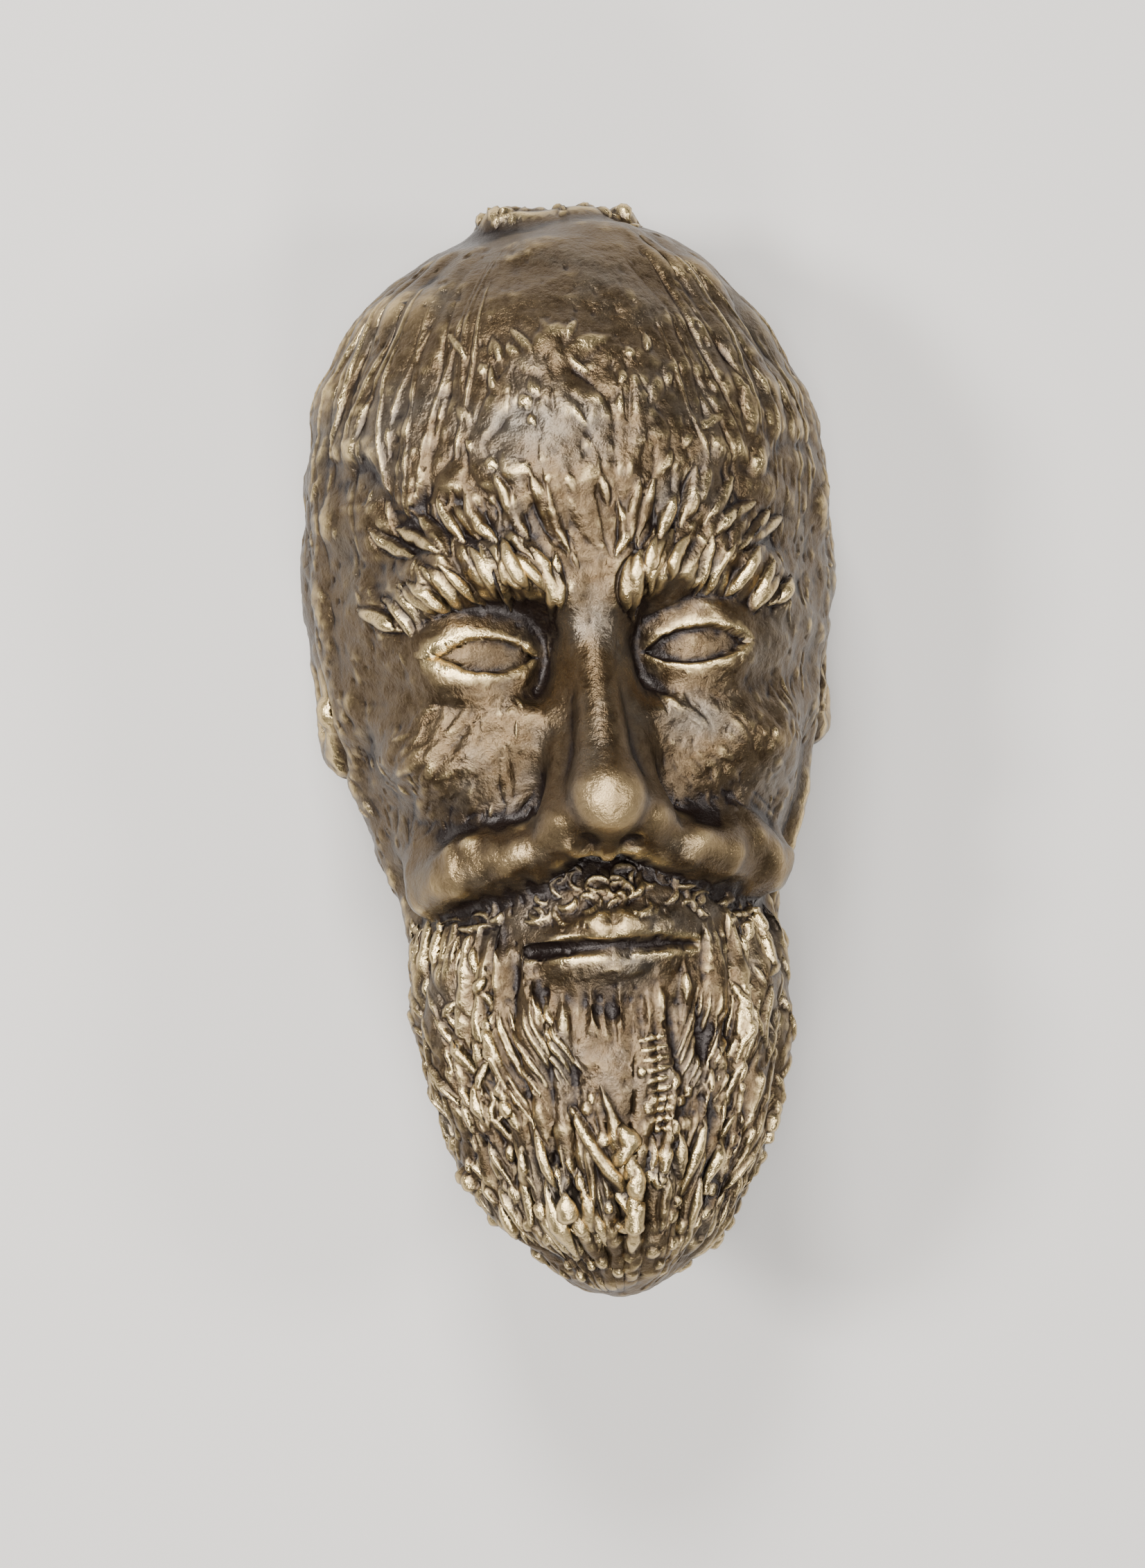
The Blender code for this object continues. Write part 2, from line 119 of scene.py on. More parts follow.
def carve(body, cutter, round_by):
    """The body's field with the cutter's taken away and the new edge rounded."""
    return -join(-body, cutter, round_by)


def ease(value, low, high):
    """0 below low, 1 above high, and a smooth step between."""
    share = np.clip((value - low) / (high - low), 0.0, 1.0)
    return share * share * (3 - 2 * share)


def ellipsoid(points, form):
    """Near distance to an ellipsoid: (reach times (reach less 1)) over the steepness there."""
    centre, radii = np.array(form[0]), np.array(form[1])
    scaled = (points - centre) / radii
    reach = np.sqrt((scaled**2).sum(1)) + 1e-9
    steepness = np.sqrt(((scaled / radii) ** 2).sum(1)) + 1e-9
    return reach * (reach - 1.0) / steepness


def skull_field(half):
    """The skull, its back, the nape, the face block and the forehead, as one smooth mass."""
    mass = ellipsoid(half, SKULL)
    for form, round_by in (
        (OCCIPUT, 0.08),
        (NAPE, 0.07),
        (FACE, 0.06),
        (FOREHEAD, 0.06),
        (MUZZLE, 0.04),
        (CHEEKBONE, 0.03),
    ):
        mass = join(mass, ellipsoid(half, form), round_by)
    return mass


# Brows: a ridge of wax over each eye, combed outwards into slanting tufts.
# The stops of a rod are a place and the rod's radius there.
TUFT_DEPTH = 0.0077
TUFT_PITCH = 0.026
TUFT_SLANT = 0.55
TUFT_MIDDLE_Y = 0.140
TUFTS_FROM_MIDDLE = (0.015, 0.040)
BROW_STOPS = [
    (0.020, 0.130, 0.180, 0.020),
    (0.060, 0.149, 0.185, 0.027),
    (0.115, 0.154, 0.157, 0.028),
    (0.167, 0.124, 0.102, 0.019),
]


def rod(points, start, end):
    """Distance to a round-ended rod whose radius changes evenly from stop to stop."""
    foot, along = np.array(start[:3]), np.array(end[:3]) - np.array(start[:3])
    share = np.clip(((points - foot) @ along) / (along @ along), 0.0, 1.0)
    nearest = foot + share[:, None] * along
    return np.sqrt(((points - nearest) ** 2).sum(1)) - (start[3] + (end[3] - start[3]) * share)


def chain(points, stops, round_by):
    """Rods through a row of stops, blended where they meet."""
    made = rod(points, stops[0], stops[1])
    for start, end in zip(stops[1:], stops[2:]):
        made = join(made, rod(points, start, end), round_by)
    return made


def brow_field(half):
    """The brow ridges with their slanting tufts: the sine of a slanted way across them."""
    x, y = half[:, 0], half[:, 1]
    tufts = np.abs(np.sin((x - TUFT_SLANT * (y - TUFT_MIDDLE_Y)) * math.pi / TUFT_PITCH))
    return chain(half, BROW_STOPS, 0.02) - (tufts - 0.5) * ease(x, *TUFTS_FROM_MIDDLE) * TUFT_DEPTH


# Eyes: balls of wax set in deep sockets, each under a thicker shell that is cut open as lids.
# They are cast with the head and stay dark in the sockets' patina and painted shade.
EYE = (0.095, 0.078, 0.118)
EYE_RADIUS = 0.054
LID_THICKNESS = 0.0095
LID_HALF_WIDTH = 0.047
UPPER_LID_RISE = 0.017
LOWER_LID_DROP = 0.014
LID_SLANT = 0.05
SOCKET = ((0.096, 0.086, 0.212), (0.062, 0.043, 0.066))
INNER_SOCKET = ((0.052, 0.075, 0.200), (0.020, 0.038, 0.056))


def eye_fields(half):
    """The eyeball, and the lids as a thicker shell round it with two arcs' almond cut through."""
    out = half - np.array(EYE)
    distance = np.sqrt((out**2).sum(1))
    across, up = out[:, 0], out[:, 1] - LID_SLANT * out[:, 0]
    upper_arc = (LID_HALF_WIDTH**2 + UPPER_LID_RISE**2) / (2 * UPPER_LID_RISE)
    lower_arc = (LID_HALF_WIDTH**2 + LOWER_LID_DROP**2) / (2 * LOWER_LID_DROP)
    above = np.hypot(across, up + upper_arc - UPPER_LID_RISE) - upper_arc
    below = np.hypot(across, up - lower_arc + LOWER_LID_DROP) - lower_arc
    almond = np.maximum(np.maximum(above, below), -out[:, 2])
    lids = carve(distance - EYE_RADIUS - LID_THICKNESS, almond, 0.006)
    return distance - EYE_RADIUS, lids


# Nose: the smoothest part of the casting, rubbed bright, and in the finish given a painted sheen
# where it faces the camera. A bridge rod, flanks, a tip, wings and a thin wall are smoothed into
# each other.
NOSE_BRIDGE = [(0, 0.118, 0.172, 0.016), (0, -0.040, 0.244, 0.025)]
NOSE_FLANK = [(0.008, 0.100, 0.155, 0.014), (0.026, -0.050, 0.200, 0.026)]
NOSE_TIP = ((0, -0.056, 0.247), (0.029, 0.026, 0.032))
NOSE_WING = ((0.037, -0.070, 0.213), (0.022, 0.020, 0.030))
NOSE_WALL = [(0, -0.066, 0.258, 0.010), (0, -0.098, 0.212, 0.008)]
NOSTRIL = ((0.022, -0.095, 0.232), (0.013, 0.013, 0.020))


def nose_field(half):
    """Bridge, flanks, tip, wings and the wall between the nostrils."""
    nose = join(rod(half, *NOSE_BRIDGE), rod(half, *NOSE_FLANK), 0.02)
    nose = join(nose, ellipsoid(half, NOSE_TIP), 0.035)
    nose = join(nose, ellipsoid(half, NOSE_WING), 0.018)
    return join(nose, rod(half, *NOSE_WALL), 0.01)


# Mouth: two lips of wax, pressed on before the casting. The slit between them, the groove above
# and the hollow below are cut in.
UPPER_LIP = [
    (0, -0.1655, 0.207, 0.0125),
    (0.012, -0.162, 0.209, 0.0125),
    (0.042, -0.168, 0.196, 0.0105),
    (0.076, -0.181, 0.163, 0.005),
]
LOWER_LIP = [(0, -0.1945, 0.203, 0.0150), (0.038, -0.192, 0.194, 0.013), (0.072, -0.183, 0.166, 0.005)]
MOUTH_SLIT = [(0, -0.1795, 0.221, 0.0062), (0.040, -0.1795, 0.210, 0.0056), (0.074, -0.1825, 0.183, 0.003)]
PHILTRUM = [(0, -0.105, 0.232, 0.008), (0, -0.148, 0.238, 0.013)]
LIP_HOLLOW = ((0, -0.227, 0.230), (0.045, 0.012, 0.022))


def mouth_field(head, half):
    """The head with lips pressed on, and the slit, philtrum and the hollow under the lip cut in."""
    lips = join(chain(half, UPPER_LIP, 0.006), chain(half, LOWER_LIP, 0.006), 0.004)
    head = join(head, lips, 0.010)
    head = carve(head, chain(half, MOUTH_SLIT, 0.004), 0.005)
    head = carve(head, rod(half, *PHILTRUM), 0.010)
    return carve(head, ellipsoid(half, LIP_HOLLOW), 0.020)


# Ears: an oval rim with a lobe round a shallow bowl, pressed flat against the head and cast with
# it. A curved fold and a small flap stand in the bowl.
EAR = (0.224, 0.050, -0.015)
EAR_HALF_HEIGHT = 0.048
EAR_HALF_WIDTH = 0.029
EAR_RIM = 0.0105
EAR_LEAN = 0.15
EAR_SPLAY = 0.22
EAR_LOBE = ((0.216, 0.001, -0.006), (0.011, 0.018, 0.014))
EAR_BOWL = ((0.243, 0.050, -0.012), (0.016, 0.028, 0.015))
EAR_FOLD_AT = 0.55
EAR_FOLD_OUT = 0.001
EAR_FOLD_RADIUS = 0.0065
EAR_FOLD_BACK = (-0.2, 0.5)
EAR_FLAP = ((0.226, 0.042, 0.012), (0.008, 0.011, 0.008))


def ear_oval(points):
    """1 on the middle of the ear's rim, less inside it and more outside, seen from the side."""
    rise, back = points[:, 1] - EAR[1], points[:, 2] - EAR[2]
    return np.hypot((rise + EAR_LEAN * back) / EAR_HALF_HEIGHT, back / EAR_HALF_WIDTH)


def with_ears(head, half):
    """The head with an oval rim and a lobe pressed on at each side, a shallow bowl cut inside the
    rim, and in the bowl a curved fold towards the back and a small flap at the front."""
    out = half[:, 0] - EAR[0] + EAR_SPLAY * (half[:, 2] - EAR[2])
    mean_radius = 0.5 * (EAR_HALF_HEIGHT + EAR_HALF_WIDTH)
    rim = np.hypot((ear_oval(half) - 1) * mean_radius, out) - EAR_RIM
    head = join(head, join(rim, ellipsoid(half, EAR_LOBE), 0.01), 0.012)
    head = carve(head, ellipsoid(half, EAR_BOWL), 0.008)
    thickness = EAR_FOLD_RADIUS * ease((EAR[2] - half[:, 2]) / EAR_HALF_WIDTH, *EAR_FOLD_BACK)
    fold = np.hypot((ear_oval(half) - EAR_FOLD_AT) * mean_radius, out - EAR_FOLD_OUT) - thickness
    return join(head, np.minimum(fold, ellipsoid(half, EAR_FLAP)), 0.004)


# Crown: a low pad pressed on the top, with a nub beside it, perhaps the stump of the channel that
# the bronze was poured through.
CROWN_PAD = ((-0.006, 0.472, -0.032), (0.060, 0.026, 0.046))
CROWN_NUB = ((0.066, 0.478, -0.028), (0.013, 0.019, 0.013))


def pillow(points, form):
    """Like an ellipsoid, but with powers of four: flatter faces and round edges."""
    centre, radii = np.array(form[0]), np.array(form[1])
    reach = (((points - centre) / radii) ** 4).sum(1) ** 0.25
    return (reach - 1.0) * radii.min()


# Hair and beard: a thin layer drawn back over the dome's sides and down before the ears, and a
# long beard with a blunt point, all one mass with the head and ribbed with a comb of wood.
BEARD_HALF_WIDTH = 0.160
BEARD_FULLNESS = 2.1
BEARD_BLUNTNESS = 1.6
BEARD_HALF_DEPTH = 0.150
BEARD_ROOT = -0.200
BEARD_RISE = 0.130
BEARD_TIP = -0.500
BEARD_AXIS_Z = (0.045, 0.095)
BEARD_EDGE = -0.228
BEARD_EDGE_RISE = 0.062
BEARD_EDGE_CORNER = (0.045, 0.100)
BEARD_EDGE_WAVES = [(0.010, 0.9, 0.0), (0.006, 2.1, 0.0)]
BEARD_EDGE_SOFTNESS = (-0.010, 0.035)
BEARD_FADE_AT_TIP = -0.400
BEARD_BACK = (-0.115, -0.055)
BEARD_THICKNESS = 0.0069
LOCK_DEPTH = 0.0115
LOCK_COUNT = 27
LOCK_BENDS = [(0.55, 19, 2.0), (0.35, 43, 0.0)]
LOCK_BUNCHES = [(1.1, 4, 9), (0.7, 9, -14)]
CALM_SHARE = 0.35
CALM_TURN = (24, 56)
CALM_FOOT = (0.330, 0.410)
STRAND_WIDTH = 0.0144
STRAND_HEIGHT = 0.0077
STRANDS = [
    (-9, -0.300, 7, -0.405),
    (6, -0.405, 4, -0.452),
    (24, -0.300, 17, -0.385),
    (-38, -0.345, -24, -0.432),
    (-26, -0.365, -13, -0.440),
    (44, -0.250, 36, -0.340),
    (58, -0.225, 52, -0.300),
    (-56, -0.235, -48, -0.320),
    (-70, -0.260, -60, -0.350),
    (66, -0.300, 54, -0.375),
]
NAPE_HAIR = (-0.120, -0.020)
CROWN_BARE = (0.430, 0.470)
HAIR_AXIS_Z = -0.030
HAIR_THICKNESS = 0.005
HAIR_LINE_DEPTH = 0.0042
HAIR_LINES = 36
HAIR_BENDS = [(0.8, 9, 0.0)]
HAIR_BUNCHES = [(0.9, 7, 5)]
HAIR_FRONT_TURN = (30, 42)
TEMPLE_EDGE = 0.255
TEMPLE_SOFTNESS = 0.020
TONGUE_TURN = 41
TONGUE_WIDTH = 7
LEFT_TONGUE = 0.060
RIGHT_TONGUE = 0.035
SIDEBURN_TURN = (64, 74)
SIDEBURN_WAVES = [(3, 31, 0.0), (2, 67, 0.0)]
EAR_CLEARANCE = (1.15, 1.75)
HAIR_TO_BEARD = (-0.120, 0.040)


def degrees_round(points, axis_z):
    """Degrees round the head from straight ahead, negative on the head's right side."""
    return np.degrees(np.arctan2(points[:, 0], points[:, 2] - axis_z))


def waves(value, parts):
    """A sum of sine waves, each given as its height, pitch and start."""
    return sum(height * np.sin(pitch * value + start) for height, pitch, start in parts)


def ribs(points, axis_z, count, bends, bunches):
    """0 in narrow grooves and 1 on round ribs from crown to tip: a sine of the way round.

    Bends sway them all alike on their way down, and bunches crowd them together here and there.
    """
    y = points[:, 1]
    turn = np.radians(degrees_round(points, axis_z))
    crowd = sum(share * np.sin(number * turn + pitch * y) for share, number, pitch in bunches)
    return np.abs(np.sin(0.5 * count * turn + waves(y, bends) + crowd))


def hair_area(points):
    """1 where hair grows and 0 on bare skin: the dome's sides, the sideburns and the beard."""
    x, y, z = np.abs(points[:, 0]), points[:, 1], points[:, 2]
    turn = degrees_round(points, HAIR_AXIS_Z)
    side = np.abs(turn)
    temple = TEMPLE_EDGE - LEFT_TONGUE * np.exp(-(((turn + TONGUE_TURN) / TONGUE_WIDTH) ** 2))
    temple = temple - RIGHT_TONGUE * np.exp(-(((turn - TONGUE_TURN) / TONGUE_WIDTH) ** 2))
    dome = ease(side, *HAIR_FRONT_TURN) * ease(y - temple, 0, TEMPLE_SOFTNESS)
    sideburn = ease(side + waves(y, SIDEBURN_WAVES), *SIDEBURN_TURN)
    edge = BEARD_EDGE + BEARD_EDGE_RISE * ease(x, *BEARD_EDGE_CORNER)
    chin = ease(edge + waves(turn, BEARD_EDGE_WAVES) - y, *BEARD_EDGE_SOFTNESS)
    grown = np.maximum(np.maximum(dome, sideburn), chin)
    ends = (1 - ease(y, *CROWN_BARE)) * ease(y, BEARD_TIP, BEARD_FADE_AT_TIP)
    back = np.maximum(ease(y, *NAPE_HAIR), ease(z, *BEARD_BACK))
    return grown * ends * back * ease(ear_oval(points), *EAR_CLEARANCE)


def strands(points):
    """Height of the pressed-on strands: half-round ridges that narrow to both ends."""
    across = np.radians(degrees_round(points, BEARD_AXIS_Z[1])) * BEARD_HALF_DEPTH
    height = np.zeros(len(points))
    for from_turn, from_y, to_turn, to_y in STRANDS:
        foot = np.array([math.radians(from_turn) * BEARD_HALF_DEPTH, from_y])
        along = np.array([math.radians(to_turn) * BEARD_HALF_DEPTH, to_y]) - foot
        out = np.stack([across, points[:, 1]], 1) - foot
        share = np.clip((out @ along) / (along @ along), 0, 1)
        away = np.hypot(*(out - share[:, None] * along).T) / STRAND_WIDTH
        girth = np.sqrt(np.sin(np.pi * np.clip(share, 0.02, 0.98)))
        height = np.maximum(height, STRAND_HEIGHT * np.sqrt(np.clip(girth**2 - 4 * away**2, 0, 1)))
    return height


def hair_relief(points):
    """How far hair stands off the skin: a thin layer on the head, a thick one in the beard."""
    head_ribs = ribs(points, HAIR_AXIS_Z, HAIR_LINES, HAIR_BENDS, HAIR_BUNCHES)
    locks = ribs(points, BEARD_AXIS_Z[1], LOCK_COUNT, LOCK_BENDS, LOCK_BUNCHES)
    side = np.abs(degrees_round(points, BEARD_AXIS_Z[1]))
    lively = np.maximum(ease(side, *CALM_TURN), ease(-points[:, 1], *CALM_FOOT))
    lively = CALM_SHARE + (1 - CALM_SHARE) * lively
    on_head = HAIR_THICKNESS + (head_ribs - 0.5) * HAIR_LINE_DEPTH
    in_beard = BEARD_THICKNESS + (locks - 0.5) * LOCK_DEPTH * lively + strands(points)
    head_share = ease(points[:, 1], *HAIR_TO_BEARD)
    return hair_area(points) * (in_beard + (on_head - in_beard) * head_share)


def beard_field(half):
    """The beard's body: an egg that the jaw sinks into, whose girth falls with a power of the
    way down to a blunt point."""
    x, y, z = half.T
    down = (BEARD_ROOT - y) / (BEARD_ROOT - BEARD_TIP)
    way = np.maximum(down, (y - BEARD_ROOT) / BEARD_RISE)
    axis_z = np.interp(down, [0, 1], BEARD_AXIS_Z)
    girth = np.hypot(x / BEARD_HALF_WIDTH, (z - axis_z) / BEARD_HALF_DEPTH)
    return (way**BEARD_FULLNESS + girth**BEARD_BLUNTNESS - 1) * BEARD_HALF_WIDTH / BEARD_BLUNTNESS


# Moustache: two thick smooth rolls that leave the wings of the nose and end at the cheeks. Each
# was rolled by hand and pressed on.
MOUSTACHE_FROM = (0.030, -0.092, 0.212, 0.013)
MOUSTACHE_TOWARD = (0.095, -0.092, 0.176, 0.034)
MOUSTACHE_TO = (0.152, -0.117, 0.100, 0.027)
MOUSTACHE_STOPS = 8


def moustache_field(half):
    """A roll along a curve that leaves its first place towards the second and ends at the third:
    the three are weighed by (1 - s) squared, 2 s (1 - s) and s squared, and so are their radii."""
    share = np.linspace(0, 1, MOUSTACHE_STOPS)[:, None]
    stops = (1 - share) ** 2 * np.array(MOUSTACHE_FROM) + share**2 * np.array(MOUSTACHE_TO)
    stops = stops + 2 * share * (1 - share) * np.array(MOUSTACHE_TOWARD)
    return chain(half, stops, 0.003)


def head_field(points):
    """Signed distance, near enough, to the skin of the whole head: negative inside."""
    half = points.copy()
    half[:, 0] = np.abs(half[:, 0])
    head = join(skull_field(half), beard_field(half), 0.035)
    head = join(head, brow_field(half), 0.025)
    head = carve(head, ellipsoid(half, SOCKET), 0.035)
    head = carve(head, ellipsoid(half, INNER_SOCKET), 0.025)
    head = join(head, nose_field(half), 0.018)
    head = carve(head, ellipsoid(half, NOSTRIL), 0.006)
    ball, lids = eye_fields(half)
    head = join(join(head, lids, 0.010), ball, 0.003)
    head = mouth_field(head, half)
    head = head - hair_relief(points)
    head = join(head, moustache_field(half), 0.024)
    head = with_ears(head, half)
    head = join(head, pillow(points, CROWN_PAD), 0.010)
    return join(head, ellipsoid(points, CROWN_NUB), 0.006)


# Skin: where rays from the head's inner line meet the forms. Columns run round the head and are
# closest on the face, rows run from the beard's tip to the crown. A coarse net is walked in
# first, and the fine one starts from it.
COARSE_NET = (200, 160)
FINE_NET = (840, 660)
COARSE_STEPS = 40
FINE_STEPS = 5
FACE_COLUMN_SHARE = 0.42
POLE_FAN = (0.3, 0.7)
SPINE_FOOT = (-0.330, 0.070)
SPINE_HEAD = (0.270, -0.030)
RAY_START = 0.42
RAY_END = 0.005
RAY_STRIDE = 0.75


def walk_in(feet, rays, reach, steps):
    """Each ray's reach, shortened again and again by a share of the field where it ends."""
    for _ in range(steps):
        reach = np.maximum(reach - RAY_STRIDE * head_field(feet + reach[:, None] * rays), RAY_END)
    return reach


def net_of_rays(columns, rows):
    """Feet along the inner line, and rays that fan out at its ends, one for each net point."""
    round_share = np.linspace(-1, 1, columns, endpoint=False)
    turn = math.pi * (FACE_COLUMN_SHARE * round_share + (1 - FACE_COLUMN_SHARE) * round_share**3)
    along = np.linspace(-1, 1, rows)
    rise = math.pi / 2 * np.sign(along) * (POLE_FAN[0] * np.abs(along) + POLE_FAN[1] * along**4)
    turn, rise = (grid.ravel() for grid in np.meshgrid(turn, rise))
    foot_share = np.repeat((along + 1) / 2, columns)
    feet = np.zeros((rows * columns, 3))
    feet[:, 1] = SPINE_FOOT[0] + (SPINE_HEAD[0] - SPINE_FOOT[0]) * foot_share
    feet[:, 2] = SPINE_FOOT[1] + (SPINE_HEAD[1] - SPINE_FOOT[1]) * foot_share
    rays = np.stack([np.sin(turn) * np.cos(rise), np.sin(rise), np.cos(turn) * np.cos(rise)], 1)
    return feet, rays


def refined(values, columns, rows):
    """A coarse net's values read between its points for a finer net: linear, closed round."""
    coarse_rows, coarse_columns = values.shape
    at_row = np.linspace(0, coarse_rows - 1, rows)
    at_column = np.arange(columns) * coarse_columns / columns
    row, column = at_row.astype(int).clip(0, coarse_rows - 2), at_column.astype(int)
    down, over = (at_row - row)[:, None], (at_column - column)[None, :]
    after = (column + 1) % coarse_columns
    upper = values[row][:, column] * (1 - over) + values[row][:, after] * over
    lower = values[row + 1][:, column] * (1 - over) + values[row + 1][:, after] * over
    return upper * (1 - down) + lower * down


coarse_columns, coarse_rows = COARSE_NET
feet, rays = net_of_rays(coarse_columns, coarse_rows)
reach = walk_in(feet, rays, np.full(len(rays), RAY_START), COARSE_STEPS)
columns, rows = FINE_NET
start = refined(reach.reshape(coarse_rows, coarse_columns), columns, rows).ravel()
feet, rays = net_of_rays(columns, rows)
skin = feet + walk_in(feet, rays, start, FINE_STEPS)[:, None] * rays


def spread(values):
    """The net's values as rows, with two columns more on each side so that it closes round."""
    grid = values.reshape(rows, columns, -1)
    return np.concatenate([grid[:, -2:], grid, grid[:, :2]], 1)


def outward(points):
    """Unit normals of the net: its way round crossed with its way up."""
    grid = spread(points)
    round_way = grid[:, 3:-1] - grid[:, 1:-3]
    up_way = np.gradient(grid[:, 2:-2], axis=0)
    normals = np.cross(round_way, up_way).reshape(-1, 3)
    return normals / (np.linalg.norm(normals, axis=1)[:, None] + 1e-12)


# Tool marks: what the modeller pressed on or cut into the wax. Raised marks are half-round with a
# narrow groove beside them, cut marks are round-bottomed. From here on, a pair of values is the
# least and the most, and sizes are such pairs for the half width and the rise.
MARKS_SEED = 7
MARK_STEPS = 45
FRONT_FOOT_Z = -0.1
FRONT_RAY_START = 0.5
MARK_ROOM = 1.8
MARK_FULLNESS = 0.6
MARK_ENDS = (0.03, 0.97)
NO_TAPER = 0.0
GROOVE_DEPTH = 0.35
GROOVE_AWAY = 1.25
GROOVE_WIDTH = 0.25
rng = np.random.default_rng(MARKS_SEED)
skin_normals = outward(skin)
order = np.argsort(skin[:, 1])
sorted_y = skin[order, 1]
raised = np.zeros(len(skin))
sunk = np.zeros(len(skin))


def on_front(x, y):
    """Places on the skin seen straight from the front: rays that fall on it along z."""
    feet = np.stack([x, y, np.full(len(x), FRONT_FOOT_Z)], 1)
    rays = np.tile([0.0, 0.0, 1.0], (len(x), 1))
    return feet + walk_in(feet, rays, np.full(len(x), FRONT_RAY_START), MARK_STEPS)[:, None] * rays


def on_side(turn, y):
    """Places on the skin by degrees round and height: level rays from the inner line."""
    feet = np.zeros((len(y), 3))
    feet[:, 1] = y
    feet[:, 2] = np.interp(y, [SPINE_FOOT[0], SPINE_HEAD[0]], [SPINE_FOOT[1], SPINE_HEAD[1]])
    turn = np.radians(turn)
    rays = np.stack([np.sin(turn), np.zeros(len(y)), np.cos(turn)], 1)
    return feet + walk_in(feet, rays, np.full(len(y), RAY_START), MARK_STEPS)[:, None] * rays


def lines_on(places, first, second):
    """Looks up many marks' stops at once: first and second are arrays of marks by stops."""
    return places(first.ravel(), second.ravel()).reshape(*first.shape, 3)


def press(lines, half_widths, rises, taper=1.0):
    """Puts marks on the skin. Away from its line a mark is a power of 1 less the distance
    squared, and its girth follows a root of a sine along the line, so that it ends in points.
    The groove beside a raised mark is a bell curve."""
    half_widths, rises = (np.broadcast_to(values, len(lines)) for values in (half_widths, rises))
    for line, half_width, rise in zip(lines, half_widths, rises):
        room = MARK_ROOM * half_width
        first, last = np.searchsorted(sorted_y, [line[:, 1].min() - room, line[:, 1].max() + room])
        near = order[first:last]
        lowest, highest = line.min(0) - room, line.max(0) + room
        inside = np.all((skin[near] > lowest) & (skin[near] < highest), axis=1)
        near = near[inside]
        if not len(near):
            continue
        points = skin[near]
        nearest = np.full(len(near), np.inf)
        share = np.zeros(len(near))
        steps = len(line) - 1
        for step in range(steps):
            along = line[step + 1] - line[step]
            part = np.clip(((points - line[step]) @ along) / (along @ along + 1e-12), 0, 1)
            away = np.linalg.norm(points - line[step] - part[:, None] * along, axis=1)
            closer = away < nearest
            nearest[closer] = away[closer]
            share[closer] = (step + part[closer]) / steps
        girth = 1 - taper + taper * np.sqrt(np.sin(np.pi * np.clip(share, *MARK_ENDS)))
        out = nearest / (half_width * girth)
        body = np.clip(1 - out**2, 0, 1) ** MARK_FULLNESS
        if rise > 0:
            raised[near] = np.maximum(raised[near], rise * girth * body)
            groove = -GROOVE_DEPTH * rise * np.exp(-(((out - GROOVE_AWAY) / GROOVE_WIDTH) ** 2))
            sunk[near] = np.minimum(sunk[near], groove)
        else:
            sunk[near] = np.minimum(sunk[near], rise * girth * body)


def front_strokes(x, y, angle, lengths, stops, bow, side=1):
    """Lines on the front from a middle both ways along an angle. At random they bow sideways by
    the length times the bow times 1 less the square of the way from the middle."""
    share = np.linspace(-0.5, 0.5, stops)[None, :]
    bulge = (1 - 4 * share**2) * rng.normal(0, bow, (len(x), 1)) * lengths[:, None]
    along_x, along_y = np.cos(angle)[:, None], np.sin(angle)[:, None]
    first = x[:, None] + along_x * share * lengths[:, None] - along_y * bulge
    second = y[:, None] + along_y * share * lengths[:, None] + along_x * bulge
    return lines_on(on_front, side * first, second)


def press_varied(lines, sizes, taper=1.0):
    """Puts marks on the skin with random half widths and rises between the given ones."""
    half_widths, rises = (rng.uniform(*span, len(lines)) for span in sizes)
    press(lines, half_widths, rises, taper)


# Brow strokes: stiff slivers of wax laid side by side over the brow ridges. Each leans away
# from the nose at its top, more so towards the temple. A second row stands above the first.
# A row is its count, nearest and farthest x, foot's y, arch and the length of its slivers.
BROW_ROWS = [
    (12, 0.028, 0.178, 0.139, 0.020, 0.060),
    (10, 0.026, 0.165, 0.194, 0.022, 0.056),
]
BROW_FALL = 0.022
BROW_STRAY_X = 0.004
BROW_STRAY_Y = 0.006
BROW_ANGLE_AT_NOSE = 84
BROW_ANGLE_AT_TEMPLE = 38
BROW_ANGLE_STRAY = 10
BROW_SHORTENING = 0.25
BROW_LENGTH_SHARES = (0.75, 1.15)
BROW_BOW = 0.06
BROW_SIZES = ((0.0050, 0.0075), (0.0045, 0.0075))
for side in (-1, 1):
    for count, near_x, far_x, foot_y, arch, length in BROW_ROWS:
        share = np.linspace(0, 1, count)
        x = near_x + (far_x - near_x) * share + rng.normal(0, BROW_STRAY_X, count)
        y = foot_y + arch * np.sin(math.pi * share) - BROW_FALL * share**2
        y = y + rng.normal(0, BROW_STRAY_Y, count)
        angle = BROW_ANGLE_AT_NOSE + (BROW_ANGLE_AT_TEMPLE - BROW_ANGLE_AT_NOSE) * share
        angle = np.radians(angle + rng.normal(0, BROW_ANGLE_STRAY, count))
        lengths = length * (1 - BROW_SHORTENING * share) * rng.uniform(*BROW_LENGTH_SHARES, count)
        press_varied(front_strokes(x, y, angle, lengths, 4, BROW_BOW, side), BROW_SIZES)

# Forehead folds: long soft upright folds between the brows and the dome, smeared on with a
# finger. The angle is a mean and a spread.
FOLDS = 26
FOLD_SPREAD_X = 0.075
FOLD_Y = (0.20, 0.35)
FOLD_ANGLE = (1.6, 0.5)
FOLD_LENGTHS = (0.03, 0.08)
FOLD_BOW = 0.08
FOLD_SIZES = ((0.006, 0.012), (0.0012, 0.0026))
FOLD_TAPER = 0.9
x = rng.normal(0, FOLD_SPREAD_X, FOLDS)
y = rng.uniform(*FOLD_Y, FOLDS)
angle = rng.normal(*FOLD_ANGLE, FOLDS)
lengths = rng.uniform(*FOLD_LENGTHS, FOLDS)
press_varied(front_strokes(x, y, angle, lengths, 6, FOLD_BOW), FOLD_SIZES, FOLD_TAPER)

